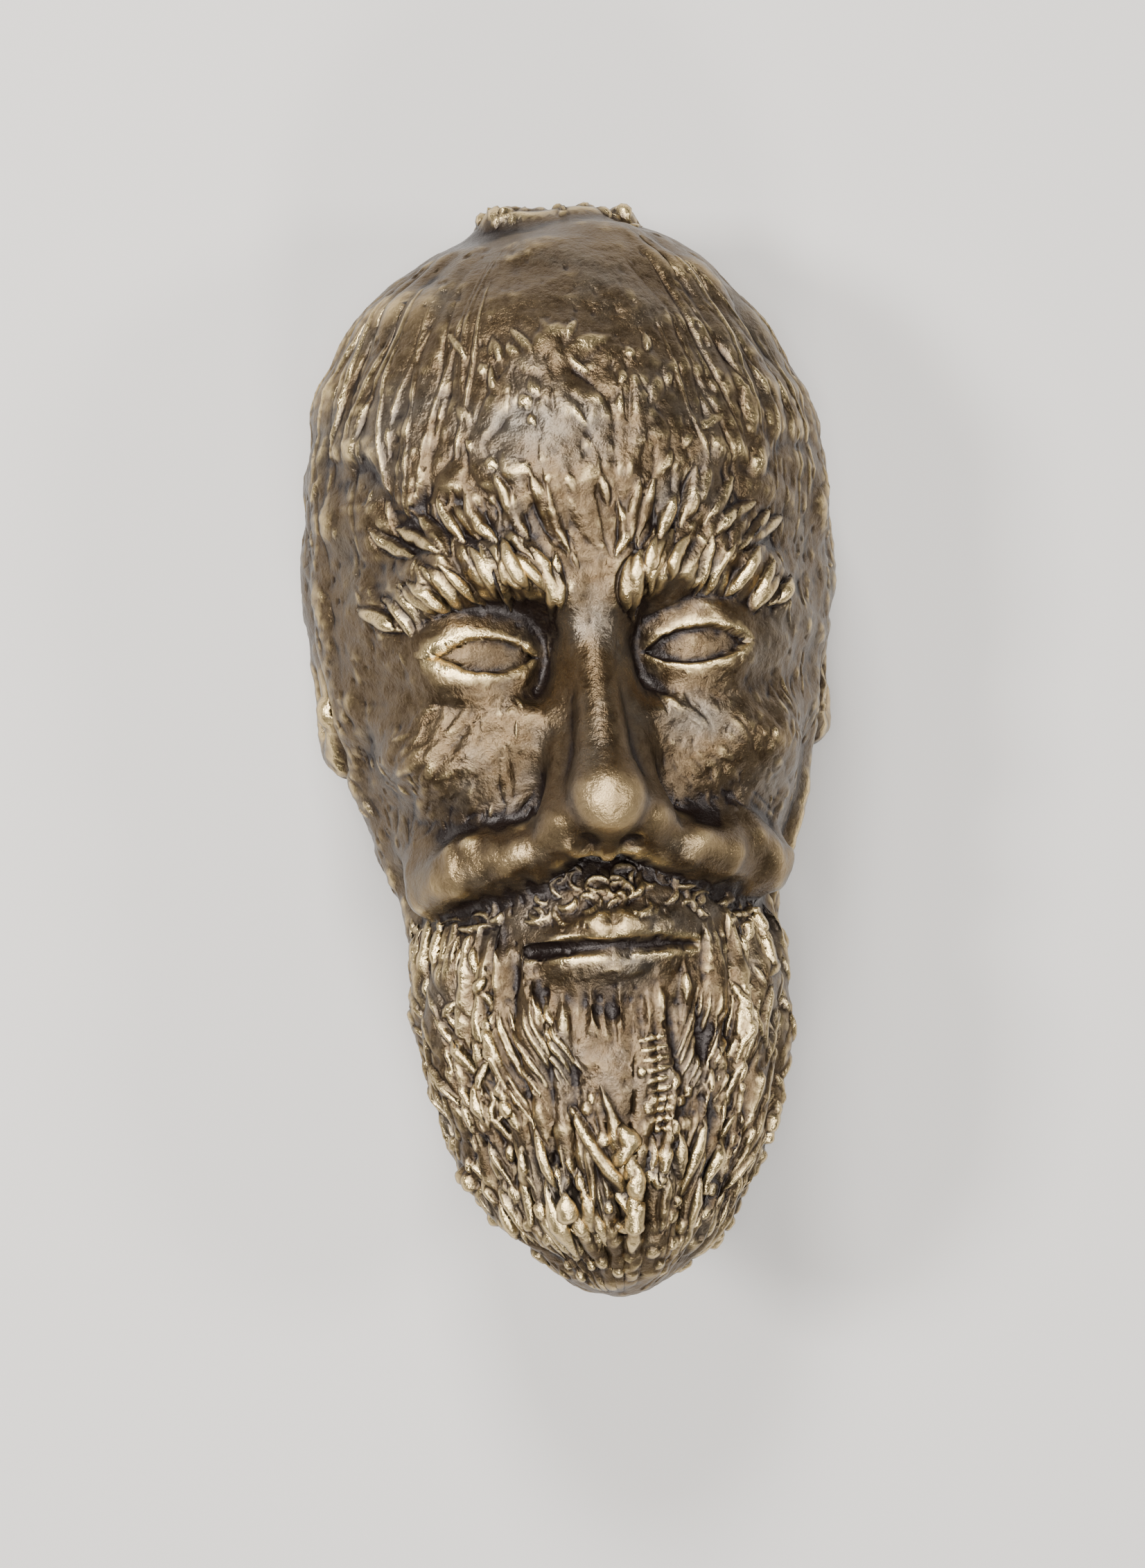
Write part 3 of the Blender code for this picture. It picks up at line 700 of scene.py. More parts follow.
# Forehead dabs: small pellets pressed on over the folds, fewer towards the dome. They fan out:
# those on the left lean one way and those on the right the other.
DABS = 64
DAB_X = (-0.115, 0.125)
DAB_FOOT_Y = 0.205
DAB_REACH_Y = 0.16
DAB_CROWDING = 1.5
DAB_FAN = 5
DAB_ANGLE_STRAY = 0.35
DAB_LENGTHS = (0.006, 0.026)
DAB_BOW = 0.08
DAB_SIZES = ((0.0035, 0.0070), (0.0014, 0.0036))
DAB_TAPER = 0.7
x = rng.uniform(*DAB_X, DABS)
y = DAB_FOOT_Y + DAB_REACH_Y * rng.uniform(0, 1, DABS) ** DAB_CROWDING
angle = math.pi / 2 - DAB_FAN * x + rng.normal(0, DAB_ANGLE_STRAY, DABS)
lengths = rng.uniform(*DAB_LENGTHS, DABS)
press_varied(front_strokes(x, y, angle, lengths, 4, DAB_BOW), DAB_SIZES, DAB_TAPER)

# Drag lines: long thin lines that a wire loop drew from the crown down both sides of the dome.
# Some are cut in and some are threads of wax that it pushed up.
DRAG_LINES = 34
DRAG_STOPS = 9
DRAG_TURN = (24, 112)
DRAG_TURN_STRAY = 1.5
DRAG_UPPER_Y = (0.36, 0.455)
DRAG_LOWER_Y = (0.14, 0.30)
DRAG_SWAY = 2.5
DRAG_SWAY_PITCH = 4
DRAG_OUTWARD = 5
DRAG_LINES_CUT = 0.5
DRAG_RISES = (0.0008, 0.0020)
DRAG_HALF_WIDTHS = (0.0018, 0.0032)


def risen_or_sunk(rises, count, risen_share):
    """Random heights, of which a share stands up and the rest is cut in."""
    heights = rng.uniform(*rises, count)
    return heights * np.where(rng.uniform(0, 1, count) < risen_share, 1, -1)


for side in (-1, 1):
    turn = np.linspace(*DRAG_TURN, DRAG_LINES) + rng.normal(0, DRAG_TURN_STRAY, DRAG_LINES)
    upper = rng.uniform(*DRAG_UPPER_Y, DRAG_LINES)
    lower = rng.uniform(*DRAG_LOWER_Y, DRAG_LINES)
    share = np.linspace(0, 1, DRAG_STOPS)[None, :]
    y = upper[:, None] + (lower - upper)[:, None] * share
    start = rng.uniform(0, 6, DRAG_LINES)[:, None]
    turns = turn[:, None] + DRAG_SWAY * np.sin(DRAG_SWAY_PITCH * share + start) + DRAG_OUTWARD * share
    rises = -risen_or_sunk(DRAG_RISES, DRAG_LINES, DRAG_LINES_CUT)
    press(lines_on(on_side, side * turns, y), rng.uniform(*DRAG_HALF_WIDTHS, DRAG_LINES), rises)

# Crown grains: crumbs of wax that stuck to the pad. Their feet are found from the inside,
# straight up.
GRAINS = 60
GRAIN_X = (-0.068, 0.082)
GRAIN_Z = (-0.080, 0.016)
GRAIN_SPREAD = 0.002
GRAIN_SIZES = ((0.0028, 0.0065), (0.0018, 0.0045))
feet = np.zeros((GRAINS, 3))
feet[:, 0] = rng.uniform(*GRAIN_X, GRAINS)
feet[:, 1] = SPINE_HEAD[0]
feet[:, 2] = rng.uniform(*GRAIN_Z, GRAINS)
up = np.tile([0.0, 1.0, 0.0], (GRAINS, 1))
grains = feet + walk_in(feet, up, np.full(GRAINS, RAY_START), MARK_STEPS)[:, None] * up
grains = np.stack([grains, grains + rng.normal(0, GRAIN_SPREAD, (GRAINS, 3))], 1)
press_varied(grains, GRAIN_SIZES, NO_TAPER)

# Moustache curls: short worms of wax that fill the lip between the rolls and the mouth. Each is
# part of a flattened ring, and they lie lower towards the cheeks.
CURLS = 64
CURL_STOPS = 7
CURL_X = (-0.135, 0.135)
CURL_Y = (-0.152, -0.112)
CURL_LOWER_FROM = 0.05
CURL_LOWER_SLOPE = 0.30
CURL_RADII = (0.005, 0.013)
CURL_FLATNESS = 0.8
CURL_TURNS = (1.5, 4.0)
CURL_SIZES = ((0.0024, 0.0042), (0.0022, 0.0042))
x = rng.uniform(*CURL_X, CURLS)
y = rng.uniform(*CURL_Y, CURLS) - CURL_LOWER_SLOPE * np.maximum(np.abs(x) - CURL_LOWER_FROM, 0)
radius = rng.uniform(*CURL_RADII, CURLS)[:, None]
turned = rng.uniform(0, 2 * math.pi, CURLS)[:, None]
turned = turned + np.linspace(0, 1, CURL_STOPS)[None, :] * rng.uniform(*CURL_TURNS, CURLS)[:, None]
around_x = x[:, None] + radius * np.cos(turned)
around_y = y[:, None] + CURL_FLATNESS * radius * np.sin(turned)
press_varied(lines_on(on_front, around_x, around_y), CURL_SIZES)

# Beard slivers: four rings of raised slivers that run down towards the tip and fan out above,
# mostly left out in the calm upper middle. Seven larger ones lie across them on the front, each
# given by the x and y of its two ends.
SLIVER_RINGS = (-0.262, -0.312, -0.365, -0.418)
SLIVERS_PER_RING = 11
SLIVER_TURN = (-66, 66)
SLIVER_STRAY_TURN = 4
SLIVER_STRAY_Y = 0.012
SLIVER_LENGTHS = (0.028, 0.080)
SLIVER_FANNING = 3.2
SLIVER_LEAN = 3
CALM_SLIVER_TURN = 40
CALM_SLIVER_Y = -0.345
CALM_SLIVERS_LEFT_OUT = 0.85
SLIVER_SIZES = ((0.0030, 0.0062), (0.0035, 0.0068))
LARGE_SLIVER_STOPS = 5
LARGE_SLIVER_SIZE = {"half_widths": 0.0062, "rises": 0.0078, "taper": 0.8}
LARGE_SLIVERS = np.array([
    (-0.043, -0.321, 0.008, -0.418),
    (0.046, -0.336, 0.047, -0.384),
    (-0.089, -0.354, -0.081, -0.421),
    (-0.107, -0.406, -0.093, -0.436),
    (-0.054, -0.395, -0.048, -0.425),
    (-0.003, -0.339, 0.007, -0.362),
    (-0.009, -0.425, 0.013, -0.428),
])


def strokes_down(turn, y, lengths, stops, fanning, lean):
    """Lines down the head from middles given by degrees round and height. Up a line the degrees
    grow by their own size times the way times the fanning, and each leans by random degrees."""
    share = np.linspace(-0.5, 0.5, stops)[None, :]
    leaning = rng.normal(0, lean, len(turn))[:, None] * share
    turns = turn[:, None] * (1 + share * lengths[:, None] * fanning) + leaning
    return lines_on(on_side, turns, y[:, None] + share * lengths[:, None])


count = SLIVERS_PER_RING * len(SLIVER_RINGS)
turn = np.tile(np.linspace(*SLIVER_TURN, SLIVERS_PER_RING), len(SLIVER_RINGS))
turn = turn + rng.normal(0, SLIVER_STRAY_TURN, count)
y = np.repeat(SLIVER_RINGS, SLIVERS_PER_RING) + rng.normal(0, SLIVER_STRAY_Y, count)
lengths = rng.uniform(*SLIVER_LENGTHS, count)
left_out = rng.uniform(0, 1, count) < CALM_SLIVERS_LEFT_OUT
kept = ~((np.abs(turn) < CALM_SLIVER_TURN) & (y > CALM_SLIVER_Y) & left_out)
slivers = strokes_down(turn[kept], y[kept], lengths[kept], 5, SLIVER_FANNING, SLIVER_LEAN)
press_varied(slivers, SLIVER_SIZES)
share = np.linspace(0, 1, LARGE_SLIVER_STOPS)[None, :]
x = LARGE_SLIVERS[:, :1] + (LARGE_SLIVERS[:, 2:3] - LARGE_SLIVERS[:, :1]) * share
y = LARGE_SLIVERS[:, 1:2] + (LARGE_SLIVERS[:, 3:] - LARGE_SLIVERS[:, 1:2]) * share
press(lines_on(on_front, x, y), **LARGE_SLIVER_SIZE)

# Beard sweeps: thin lines side by side that curve inwards below each corner of the mouth. A
# sweep starts further out, falls lower and bends more the later it comes in the row.
SWEEPS = 9
SWEEP_STOPS = 6
SWEEP_X = 0.066
SWEEP_ROW_WIDTH = 0.060
SWEEP_INWARD = 0.030
SWEEP_INWARD_GROWTH = 0.012
SWEEP_BEND = 1.6
SWEEP_TOP_Y = -0.222
SWEEP_TOP_FALL = 0.016
SWEEP_LENGTH = 0.070
SWEEP_LENGTH_GROWTH = 0.020
SWEEP_STRAY = 0.0015
SWEEP_MIDDLE_X = 0.005
SWEEP_HALF_WIDTH = 0.0028
SWEEP_RISES = (0.0018, 0.0034)
for side in (-1, 1):
    later = np.linspace(0, 1, SWEEPS)[:, None]
    share = np.linspace(0, 1, SWEEP_STOPS)[None, :]
    x = SWEEP_X + SWEEP_ROW_WIDTH * later
    x = x - (SWEEP_INWARD + SWEEP_INWARD_GROWTH * later) * share**SWEEP_BEND
    y = SWEEP_TOP_Y - SWEEP_TOP_FALL * later - (SWEEP_LENGTH + SWEEP_LENGTH_GROWTH * later) * share
    x = side * (x + rng.normal(0, SWEEP_STRAY, (SWEEPS, 1))) + SWEEP_MIDDLE_X
    press(lines_on(on_front, x, y), SWEEP_HALF_WIDTH, rng.uniform(*SWEEP_RISES, SWEEPS))

# Beard cuts: long lines scored down the beard with a point. There are none in its calm upper
# middle.
CUTS = 60
CUT_TURN = (-95, 95)
CUT_Y = (-0.42, -0.225)
CUT_LENGTHS = (0.035, 0.110)
CUT_FANNING = 2.6
CUT_LEAN = 5
CALM_CUT_TURN = 34
CALM_CUT_Y = -0.335
CUT_HALF_WIDTHS = (0.0018, 0.0032)
CUT_DEPTHS = (0.0018, 0.0040)
turn = rng.uniform(*CUT_TURN, CUTS)
y = rng.uniform(*CUT_Y, CUTS)
lengths = rng.uniform(*CUT_LENGTHS, CUTS)
kept = (np.abs(turn) >= CALM_CUT_TURN) | (y <= CALM_CUT_Y)
cuts = strokes_down(turn[kept], y[kept], lengths[kept], 6, CUT_FANNING, CUT_LEAN)
press(cuts, rng.uniform(*CUT_HALF_WIDTHS, len(cuts)), -rng.uniform(*CUT_DEPTHS, len(cuts)))

# Beard dashes and beads: short strokes that cover its flanks, and a row of round beads along
# each lower edge.
DASHES = 95
DASH_TURN = (42, 104)
DASH_Y = (-0.435, -0.165)
DASH_LENGTHS = (0.012, 0.034)
DASH_LEAN = 4
DASH_SIZES = ((0.0026, 0.0048), (0.0020, 0.0044))
BEADS = 9
BEAD_Y = (-0.350, -0.468)
BEAD_STRAY_Y = 0.004
BEAD_TURN = 84
BEAD_STRAY_TURN = 5
BEAD_LENGTH = 0.004
BEAD_SIZES = ((0.0055, 0.0080), (0.0060, 0.0085))


def spots(turn, y, length):
    """Lines of two stops one above the other, so short that their marks are round."""
    share = np.array([[-0.5, 0.5]])
    return lines_on(on_side, turn[:, None] + 0 * share, y[:, None] + length * share)


for side in (-1, 1):
    turn = side * rng.uniform(*DASH_TURN, DASHES)
    y = rng.uniform(*DASH_Y, DASHES)
    dashes = strokes_down(turn, y, rng.uniform(*DASH_LENGTHS, DASHES), 3, 0, DASH_LEAN)
    press_varied(dashes, DASH_SIZES)
    y = np.linspace(*BEAD_Y, BEADS) + rng.normal(0, BEAD_STRAY_Y, BEADS)
    turn = side * (BEAD_TURN + rng.normal(0, BEAD_STRAY_TURN, BEADS))
    press_varied(spots(turn, y, BEAD_LENGTH), BEAD_SIZES, NO_TAPER)

# Beard comb: a short ladder of level ribs on the front, off its middle, pressed in with the edge
# of a tool.
TEETH = 10
TEETH_Y = (-0.262, -0.342)
TOOTH_TILT = 0.003
TOOTH_X = 0.030
TOOTH_SWAY = 0.005
TOOTH_LENGTH = 0.024
TOOTH_SIZE = {"half_widths": 0.0030, "rises": 0.0036}
share = np.linspace(-0.5, 0.5, 3)[None, :]
y = np.linspace(*TEETH_Y, TEETH)[:, None] + TOOTH_TILT * share
x = (TOOTH_X + TOOTH_SWAY * np.sin(np.linspace(0, 3, TEETH)))[:, None] + TOOTH_LENGTH * share
press(lines_on(on_front, x, y), **TOOTH_SIZE)

# Beard pellets: round crumbs of wax, rolled between the fingers and pressed on low in the middle
# and over the tip.
PELLETS = 70
PELLET_SPREAD_TURN = 34
PELLET_Y = (-0.475, -0.290)
PELLET_LENGTH = 0.003
PELLET_SIZES = ((0.0030, 0.0062), (0.0018, 0.0042))
turn = rng.normal(0, PELLET_SPREAD_TURN, PELLETS)
pellets = spots(turn, rng.uniform(*PELLET_Y, PELLETS), PELLET_LENGTH)
press_varied(pellets, PELLET_SIZES, NO_TAPER)

# Scratches: fine upright marks of the wire on the cheeks and temples. Some are raised, most are
# cut in.
SCRATCHES = 320
SCRATCH_TURN = (-92, 92)
SCRATCH_Y = (-0.12, 0.24)
SCRATCH_ANGLE_STRAY = 0.45
SCRATCH_LENGTHS = (0.008, 0.030)
DEGREES_PER_SHARE = 280
SCRATCH_HALF_WIDTHS = (0.0015, 0.0034)
SCRATCH_RISES = (0.0006, 0.0020)
SCRATCHES_RAISED = 0.4
turn = rng.uniform(*SCRATCH_TURN, SCRATCHES)
y = rng.uniform(*SCRATCH_Y, SCRATCHES)
share = np.linspace(-0.5, 0.5, 3)[None, :]
angle = rng.normal(math.pi / 2, SCRATCH_ANGLE_STRAY, SCRATCHES)[:, None]
lengths = rng.uniform(*SCRATCH_LENGTHS, SCRATCHES)[:, None]
turns = turn[:, None] + np.cos(angle) * share * lengths * DEGREES_PER_SHARE
scratches = lines_on(on_side, turns, y[:, None] + np.sin(angle) * share * lengths)
half_widths = rng.uniform(*SCRATCH_HALF_WIDTHS, SCRATCHES)
press(scratches, half_widths, risen_or_sunk(SCRATCH_RISES, SCRATCHES, SCRATCHES_RAISED))

# Cheek dabs: long low slanting strokes of wax, smeared over each cheek with a finger. The angle
# is a mean and a spread.
CHEEK_DABS = 30
CHEEK_X = (0.072, 0.172)
CHEEK_Y = (-0.082, 0.030)
CHEEK_ANGLE = (2.2, 0.22)
CHEEK_LENGTHS = (0.020, 0.055)
CHEEK_BOW = 0.1
CHEEK_SIZES = ((0.0040, 0.0075), (0.0007, 0.0016))
for side in (-1, 1):
    x = rng.uniform(*CHEEK_X, CHEEK_DABS)
    y = rng.uniform(*CHEEK_Y, CHEEK_DABS)
    angle = rng.normal(*CHEEK_ANGLE, CHEEK_DABS)
    lengths = rng.uniform(*CHEEK_LENGTHS, CHEEK_DABS)
    press_varied(front_strokes(x, y, angle, lengths, 4, CHEEK_BOW, side), CHEEK_SIZES)

# Pits: round holes that gas and the mould's plaster left all over the casting, and none on the
# nose, which is polished.
PITS = 1300
PIT_TURN = (-110, 110)
PIT_Y = (-0.48, 0.46)
NOSE_TURN = 9
NOSE_Y = (-0.08, 0.10)
PIT_LENGTH = 0.002
PIT_HALF_WIDTHS = (0.0014, 0.0040)
PIT_DEPTHS = (0.0004, 0.0018)
turn = rng.uniform(*PIT_TURN, PITS)
y = rng.uniform(*PIT_Y, PITS)
kept = ~((np.abs(turn) < NOSE_TURN) & (y > NOSE_Y[0]) & (y < NOSE_Y[1]))
pits = spots(turn[kept], y[kept], PIT_LENGTH)
press(pits, rng.uniform(*PIT_HALF_WIDTHS, len(pits)), -rng.uniform(*PIT_DEPTHS, len(pits)), NO_TAPER)

# Hand unevenness: soft lumps, as no part of the wax was left quite true. The nose, the eyes and
# the moustache rolls were wiped clear of marks, and the flat at the back is bare. Lumps are rows
# of their height, their wavelength and the seed of their directions.
WAVES_PER_SIZE = 22
WAVE_SPREAD = (0.7, 1.3)
LARGE_LUMPS = [(0.0022, 0.190, 4), (0.0016, 0.075, 1)]
FINE_LUMPS = [(0.0006, 0.030, 2), (0.0003, 0.012, 3)]
ROLL_LUMPS = [(0.0024, 0.064, 5), (0.0006, 0.026, 6)]
SMOOTH_ROUGHNESS = 0.20
SMOOTH_EDGE = (0.000, 0.020)
WIPED_EDGE = (0.003, 0.012)
BRIDGE_Y = (0.020, 0.050)
EYE_EDGE = (0.001, 0.008)
ROLL_EDGE = (0.004, 0.016)
DOME_Y = (0.300, 0.380)
DOME_SMOOTHER = 0.5
FLAT_Z = (-0.235, -0.200)


def lumps_of(points, sizes):
    """Soft lumps: for each size, plane waves in random directions, summed and scaled to a spread
    of 1, times the height."""
    total = np.zeros(len(points))
    for height, wavelength, seed in sizes:
        draw = np.random.default_rng(seed)
        ways = draw.normal(size=(3, WAVES_PER_SIZE))
        ways = ways / np.linalg.norm(ways, axis=0) * 2 * math.pi / wavelength
        ways = ways * draw.uniform(*WAVE_SPREAD, WAVES_PER_SIZE)
        starts = draw.uniform(0, 2 * math.pi, WAVES_PER_SIZE)
        total += np.sin(points @ ways + starts).sum(1) * math.sqrt(2 / WAVES_PER_SIZE) * height
    return total


half = skin.copy()
half[:, 0] = np.abs(half[:, 0])
rolls = moustache_field(half)
smooth_forms = np.minimum(nose_field(half), rolls)
below_the_bridge = 1 - ease(skin[:, 1], *BRIDGE_Y)
marked = 1 - below_the_bridge * (1 - ease(smooth_forms, *WIPED_EDGE))
marked = marked * ease(np.minimum(*eye_fields(half)), *EYE_EDGE)
raised, sunk = raised * marked, sunk * marked
rough = SMOOTH_ROUGHNESS + (1 - SMOOTH_ROUGHNESS) * ease(smooth_forms, *SMOOTH_EDGE)
lumps = rough * lumps_of(skin, LARGE_LUMPS)
rough = rough * (1 - DOME_SMOOTHER * ease(skin[:, 1], *DOME_Y))
lumps = lumps + rough * lumps_of(skin, FINE_LUMPS)
lumps = lumps + (1 - ease(rolls, *ROLL_EDGE)) * lumps_of(skin, ROLL_LUMPS)
displacement = raised + np.where(raised > 0, 0, sunk) + lumps
surface = skin + (displacement * ease(skin[:, 2], *FLAT_Z))[:, None] * skin_normals

# Hollows and ridges: how far each point stands above or below the blurred skin, at a small, a
# large and a broad scale. The finish reads them: dark brown patina and painted shade lie in the
# hollows, and painted shade darkens the flanks turned from the camera; raised forms and ridges are
# rubbed bright and get a painted sheen and highlight, strongest where they face the camera. Each
# span runs from no effect to the full one, and weights follow the scales.
BLUR_RADII = (4, 16, 45)
RIDGE_SPAN = (0.0004, 0.0015)
HOLLOW_SPANS = [(0.0001, 0.0010), (0.0002, 0.0045), (0.0000, 0.0120)]
HOLLOW_WEIGHTS = (0.6, 0.6, 0.3)
LARGE_WEAR_AND_SHEEN_SPAN = (0.0030, 0.0080)
BROAD_WEAR_AND_SHEEN_SPAN = (0.010, 0.026)
WEAR_AND_SHEEN_WEIGHT = 0.5
FRONT_SPAN = (0.00, 0.75)
RIDGE_GLINT_BEHIND = 0.25
PAINTED_FLANK_SHADE = 0.75


def blurred(points, radius):
    """The mean over a square of net points, closed round, by running sums."""
    grid = points.reshape(rows, columns, 3)
    grid = np.concatenate([grid[:, -radius:], grid, grid[:, :radius]], 1)
    grid = np.concatenate([grid[:1]] * (radius + 1) + [grid] + [grid[-1:]] * radius, 0)
    total = np.cumsum(grid, axis=0)
    grid = (total[2 * radius + 1 :] - total[: -2 * radius - 1]) / (2 * radius + 1)
    total = np.cumsum(np.concatenate([grid[:, :1] * 0, grid], 1), axis=1)
    return ((total[:, 2 * radius + 1 :] - total[:, : -2 * radius - 1]) / (2 * radius + 1)).reshape(-1, 3)


normals = outward(surface)
stands = [((surface - blurred(surface, radius)) * normals).sum(1) for radius in BLUR_RADII]
patina_and_shade = np.zeros(len(surface))
for stand, span, weight in zip(stands, HOLLOW_SPANS, HOLLOW_WEIGHTS):
    patina_and_shade += ease(-stand, *span) * weight
wear_and_sheen = ease(stands[1], *LARGE_WEAR_AND_SHEEN_SPAN) * WEAR_AND_SHEEN_WEIGHT
wear_and_sheen = wear_and_sheen + ease(stands[2], *BROAD_WEAR_AND_SHEEN_SPAN) * WEAR_AND_SHEEN_WEIGHT
to_the_front = ease(normals[:, 2], *FRONT_SPAN)
# Painted highlight: the ridges' cream is strongest where they face the camera and its lights.
ridge_wear_and_glint = ease(stands[0], *RIDGE_SPAN) * (RIDGE_GLINT_BEHIND + (1 - RIDGE_GLINT_BEHIND) * to_the_front)
# Painted sheen: the worn colour fades on surfaces turned from the camera and its lights.
wear_and_sheen = wear_and_sheen * to_the_front
# Painted shade: flanks turned away from the camera are darkened as if shaded, over the patina in the
# hollows.
patina_and_shade = patina_and_shade + PAINTED_FLANK_SHADE * (1 - to_the_front)

# The mesh: the net as quads with a cap of triangles at each pole, cut flat at the back where the
# solid is, and thinned so that its triangles stay where the marks are.
TRIANGLES = 192000
low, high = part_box("bronze_head")
HEAD_LENGTH = 0.052
CROWN_TOP = 0.498
BACK_FLAT = -0.0118 / HEAD_LENGTH
places = surface * HEAD_LENGTH
places[:, 1] += high.y - CROWN_TOP * HEAD_LENGTH
places[:, 2] -= BACK_FLAT * HEAD_LENGTH
places[:, 2] = np.maximum(places[:, 2], 0)
grid = np.arange(rows * columns).reshape(rows, columns)[1:-1]
after = np.roll(grid, -1, axis=1)
quads = np.stack([grid[:-1], after[:-1], after[1:], grid[1:]], -1).reshape(-1, 4)
bottom, top = 0, (rows - 1) * columns
keep = np.concatenate([[bottom], grid.ravel(), [top]])
number = np.zeros(rows * columns, int)
number[keep] = np.arange(len(keep))
bottom_cap = np.stack([np.full(columns, bottom), after[0], grid[0]], -1)
top_cap = np.stack([np.full(columns, top), grid[-1], after[-1]], -1)
mesh = bpy.data.meshes.new("bronze_head_skin")
faces = [*number[quads].tolist(), *number[bottom_cap].tolist(), *number[top_cap].tolist()]
mesh.from_pydata(places[keep], [], faces)
for name, values in (("ridge_wear_and_glint", ridge_wear_and_glint), ("patina_and_shade", patina_and_shade), ("wear_and_sheen", wear_and_sheen)):
    mesh.attributes.new(name, "FLOAT", "POINT").data.foreach_set("value", values[keep].astype(np.float32))
mesh.shade_smooth()
head = bpy.data.objects.new("bronze_head_skin", mesh)
bpy.context.scene.collection.objects.link(head)
thin = head.modifiers.new("thin out", "DECIMATE")
thin.ratio = TRIANGLES / (2 * len(quads) + 2 * columns)


# Bronze: brown-grey cast metal, finely pored, with cool grey drifts, dark brown patina and painted
# shade in the hollows and on the flanks, worn bronze with a painted sheen on the raised forms, and a
# warm cream on the ridges, partly wear and partly painted highlight. A value named for a mask is the
# factor that it is taken times, with what is added where there are two.
BROWN = (0.068, 0.043, 0.022)
GREY_BROWN = (0.162, 0.119, 0.071)
COOL_GREY = (0.165, 0.150, 0.128)
WORN_AND_SHEEN = (0.64, 0.470, 0.245)
CREAM = (0.90, 0.70, 0.36)
# Near black for the patina and the painted shade.
DARK = (0.008, 0.004, 0.003)
SPECK_COLOUR = (1.8, -0.45)
DRIFT_COLOUR = (3.0, -1.45)
WEAR_AND_SHEEN_COLOUR = 0.85
RIDGE_WEAR_AND_GLINT_COLOUR = 0.75
PATINA_AND_SHADE_COLOUR = 0.95
SPECK_ROUGHNESS = (0.30, 0.22)
RIDGE_ROUGHNESS = -0.14
WEAR_AND_SHEEN_ROUGHNESS = 0.09
PATINA_AND_SHADE_METAL = (-0.45, 1.0)
bronze = bpy.data.materials.new("cast bronze")
bronze.use_nodes = True
nodes, links = bronze.node_tree.nodes, bronze.node_tree.links
shader = nodes["Principled BSDF"]


def node(kind, **values):
    """A node of one kind, with its plain sockets and settings given by name."""
    made = nodes.new(kind)
    for name, value in values.items():
        if hasattr(made, name):
            setattr(made, name, value)
        else:
            made.inputs[name.replace("_", " ")].default_value = value
    return made


def mixed(factor, first, second):
    """Colours mixed by a mask; a colour is a node's output or three numbers."""
    made = nodes.new("ShaderNodeMix")
    made.data_type = "RGBA"
    links.new(factor, made.inputs["Factor"])
    for socket, colour in ((6, first), (7, second)):
        if isinstance(colour, tuple):
            made.inputs[socket].default_value = (*colour, 1)
        else:
            links.new(colour, made.inputs[socket])
    return made.outputs[2]


def scaled(value, factor, add=0.0):
    """A mask times a factor plus a number or another mask, kept from 0 to 1."""
    made = nodes.new("ShaderNodeMath")
    made.operation = "MULTIPLY_ADD"
    made.use_clamp = True
    links.new(value, made.inputs[0])
    made.inputs[1].default_value = factor
    if isinstance(add, float):
        made.inputs[2].default_value = add
    else:
        links.new(add, made.inputs[2])
    return made.outputs[0]


place = node("ShaderNodeTexCoord").outputs["Object"]
ridge_wear_and_glint_value = node("ShaderNodeAttribute", attribute_name="ridge_wear_and_glint").outputs["Fac"]
patina_and_shade_value = node("ShaderNodeAttribute", attribute_name="patina_and_shade").outputs["Fac"]
wear_and_sheen_value = node("ShaderNodeAttribute", attribute_name="wear_and_sheen").outputs["Fac"]
drift = node("ShaderNodeTexNoise", Scale=230, Detail=4, Roughness=0.6)
speck = node("ShaderNodeTexNoise", Scale=1700, Detail=5, Roughness=0.65)
pores = node("ShaderNodeTexNoise", Scale=5200, Detail=3, Roughness=0.6)
for texture in (drift, speck, pores):
    links.new(place, texture.inputs["Vector"])
colour = mixed(scaled(speck.outputs["Fac"], *SPECK_COLOUR), BROWN, GREY_BROWN)
colour = mixed(scaled(drift.outputs["Fac"], *DRIFT_COLOUR), colour, COOL_GREY)
# Worn bronze on the raised forms, with a painted sheen where they face the camera.
colour = mixed(scaled(wear_and_sheen_value, WEAR_AND_SHEEN_COLOUR), colour, WORN_AND_SHEEN)
# Cream on the ridges: wear on the strokes' tops, and a painted highlight.
colour = mixed(scaled(ridge_wear_and_glint_value, RIDGE_WEAR_AND_GLINT_COLOUR), colour, CREAM)
# Patina in the hollows, and painted shade in the deep hollows and on the flanks turned away.
colour = mixed(scaled(patina_and_shade_value, PATINA_AND_SHADE_COLOUR), colour, DARK)
links.new(colour, shader.inputs["Base Color"])
roughness = scaled(ridge_wear_and_glint_value, RIDGE_ROUGHNESS, scaled(speck.outputs["Fac"], *SPECK_ROUGHNESS))
links.new(scaled(wear_and_sheen_value, WEAR_AND_SHEEN_ROUGHNESS, roughness), shader.inputs["Roughness"])
links.new(scaled(patina_and_shade_value, *PATINA_AND_SHADE_METAL), shader.inputs["Metallic"])
rough_pores = node("ShaderNodeBump", Strength=0.6, Distance=0.00006)
links.new(pores.outputs["Fac"], rough_pores.inputs["Height"])
rough_specks = node("ShaderNodeBump", Strength=0.5, Distance=0.00016)
links.new(speck.outputs["Fac"], rough_specks.inputs["Height"])
links.new(rough_pores.outputs["Normal"], rough_specks.inputs["Normal"])
links.new(rough_specks.outputs["Normal"], shader.inputs["Normal"])
mesh.materials.append(bronze)
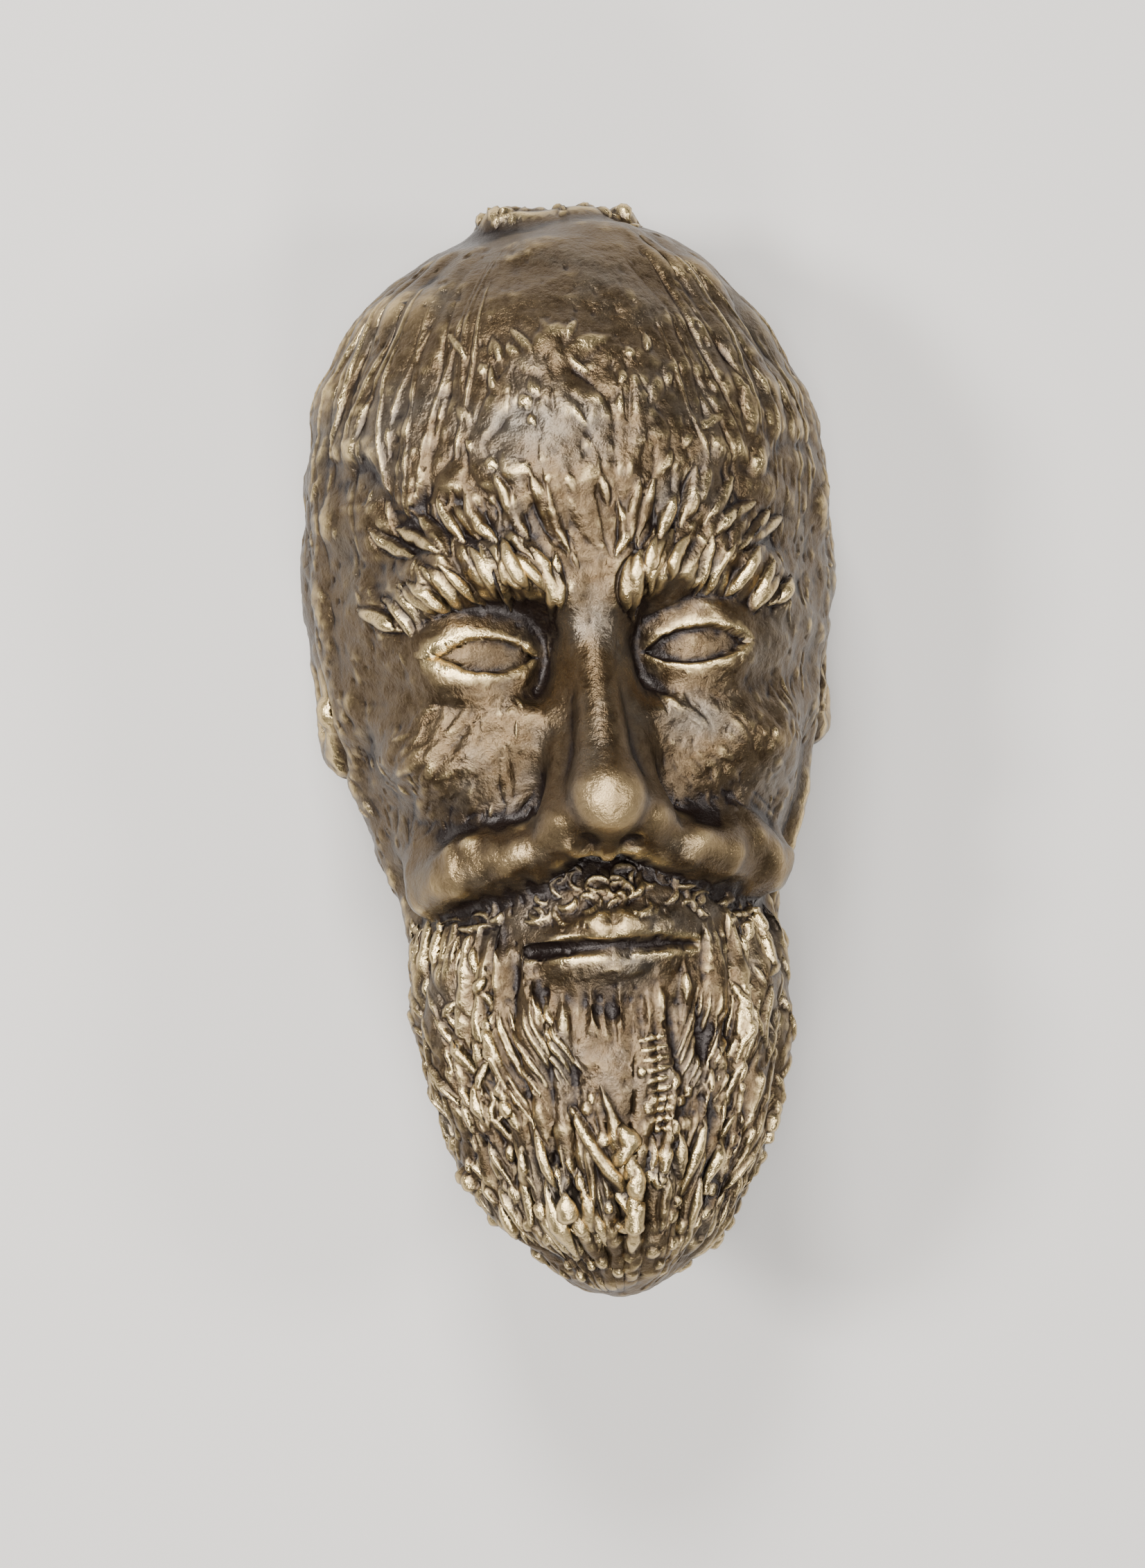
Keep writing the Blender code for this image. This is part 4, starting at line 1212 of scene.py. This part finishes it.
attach(head, "root")
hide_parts("bronze_head")


# Studio: a pale floor, soft warm lights round the camera and a faint even fill.
# A light is its name, its place in metres, its power in watts and its size in metres.
FLOOR_SIZE = 3.0
FLOOR_COLOUR = (0.55, 0.54, 0.53)
FLOOR_ROUGHNESS = 0.8
LIGHT_COLOUR = (1.0, 0.965, 0.92)
LIGHTS = [
    ("left light", (-0.17, 0.02, 0.24), 0.95, 0.05),
    ("right light", (0.18, -0.01, 0.23), 0.38, 0.05),
    ("top light", (-0.04, 0.18, 0.26), 1.10, 0.07),
    ("low light", (0.00, -0.20, 0.22), 0.42, 0.05),
    ("front light", (-0.03, -0.02, 0.34), 0.75, 0.06),
]
FILL_COLOUR = (0.80, 0.82, 0.85)
FILL_STRENGTH = 0.15
floor_mesh = bpy.data.meshes.new("floor")
side = FLOOR_SIZE / 2
corners = [(-side, -side, 0), (side, -side, 0), (side, side, 0), (-side, side, 0)]
floor_mesh.from_pydata(corners, [], [(0, 1, 2, 3)])
floor = bpy.data.objects.new("floor", floor_mesh)
bpy.context.scene.collection.objects.link(floor)
floor_paint = bpy.data.materials.new("pale floor")
floor_paint.use_nodes = True
floor_shader = floor_paint.node_tree.nodes["Principled BSDF"]
floor_shader.inputs["Base Color"].default_value = (*FLOOR_COLOUR, 1)
floor_shader.inputs["Roughness"].default_value = FLOOR_ROUGHNESS
floor_mesh.materials.append(floor_paint)
for name, place_of_light, power, size in LIGHTS:
    lamp = bpy.data.lights.new(name, "AREA")
    lamp.energy = power
    lamp.size = size
    lamp.color = LIGHT_COLOUR
    holder = bpy.data.objects.new(name, lamp)
    holder.location = place_of_light
    holder.rotation_euler = (aim - Vector(place_of_light)).to_track_quat("-Z", "Y").to_euler()
    bpy.context.scene.collection.objects.link(holder)
world = bpy.data.worlds.new("studio")
bpy.context.scene.world = world
world.use_nodes = True
background = world.node_tree.nodes["Background"]
background.inputs["Color"].default_value = (*FILL_COLOUR, 1)
background.inputs["Strength"].default_value = FILL_STRENGTH
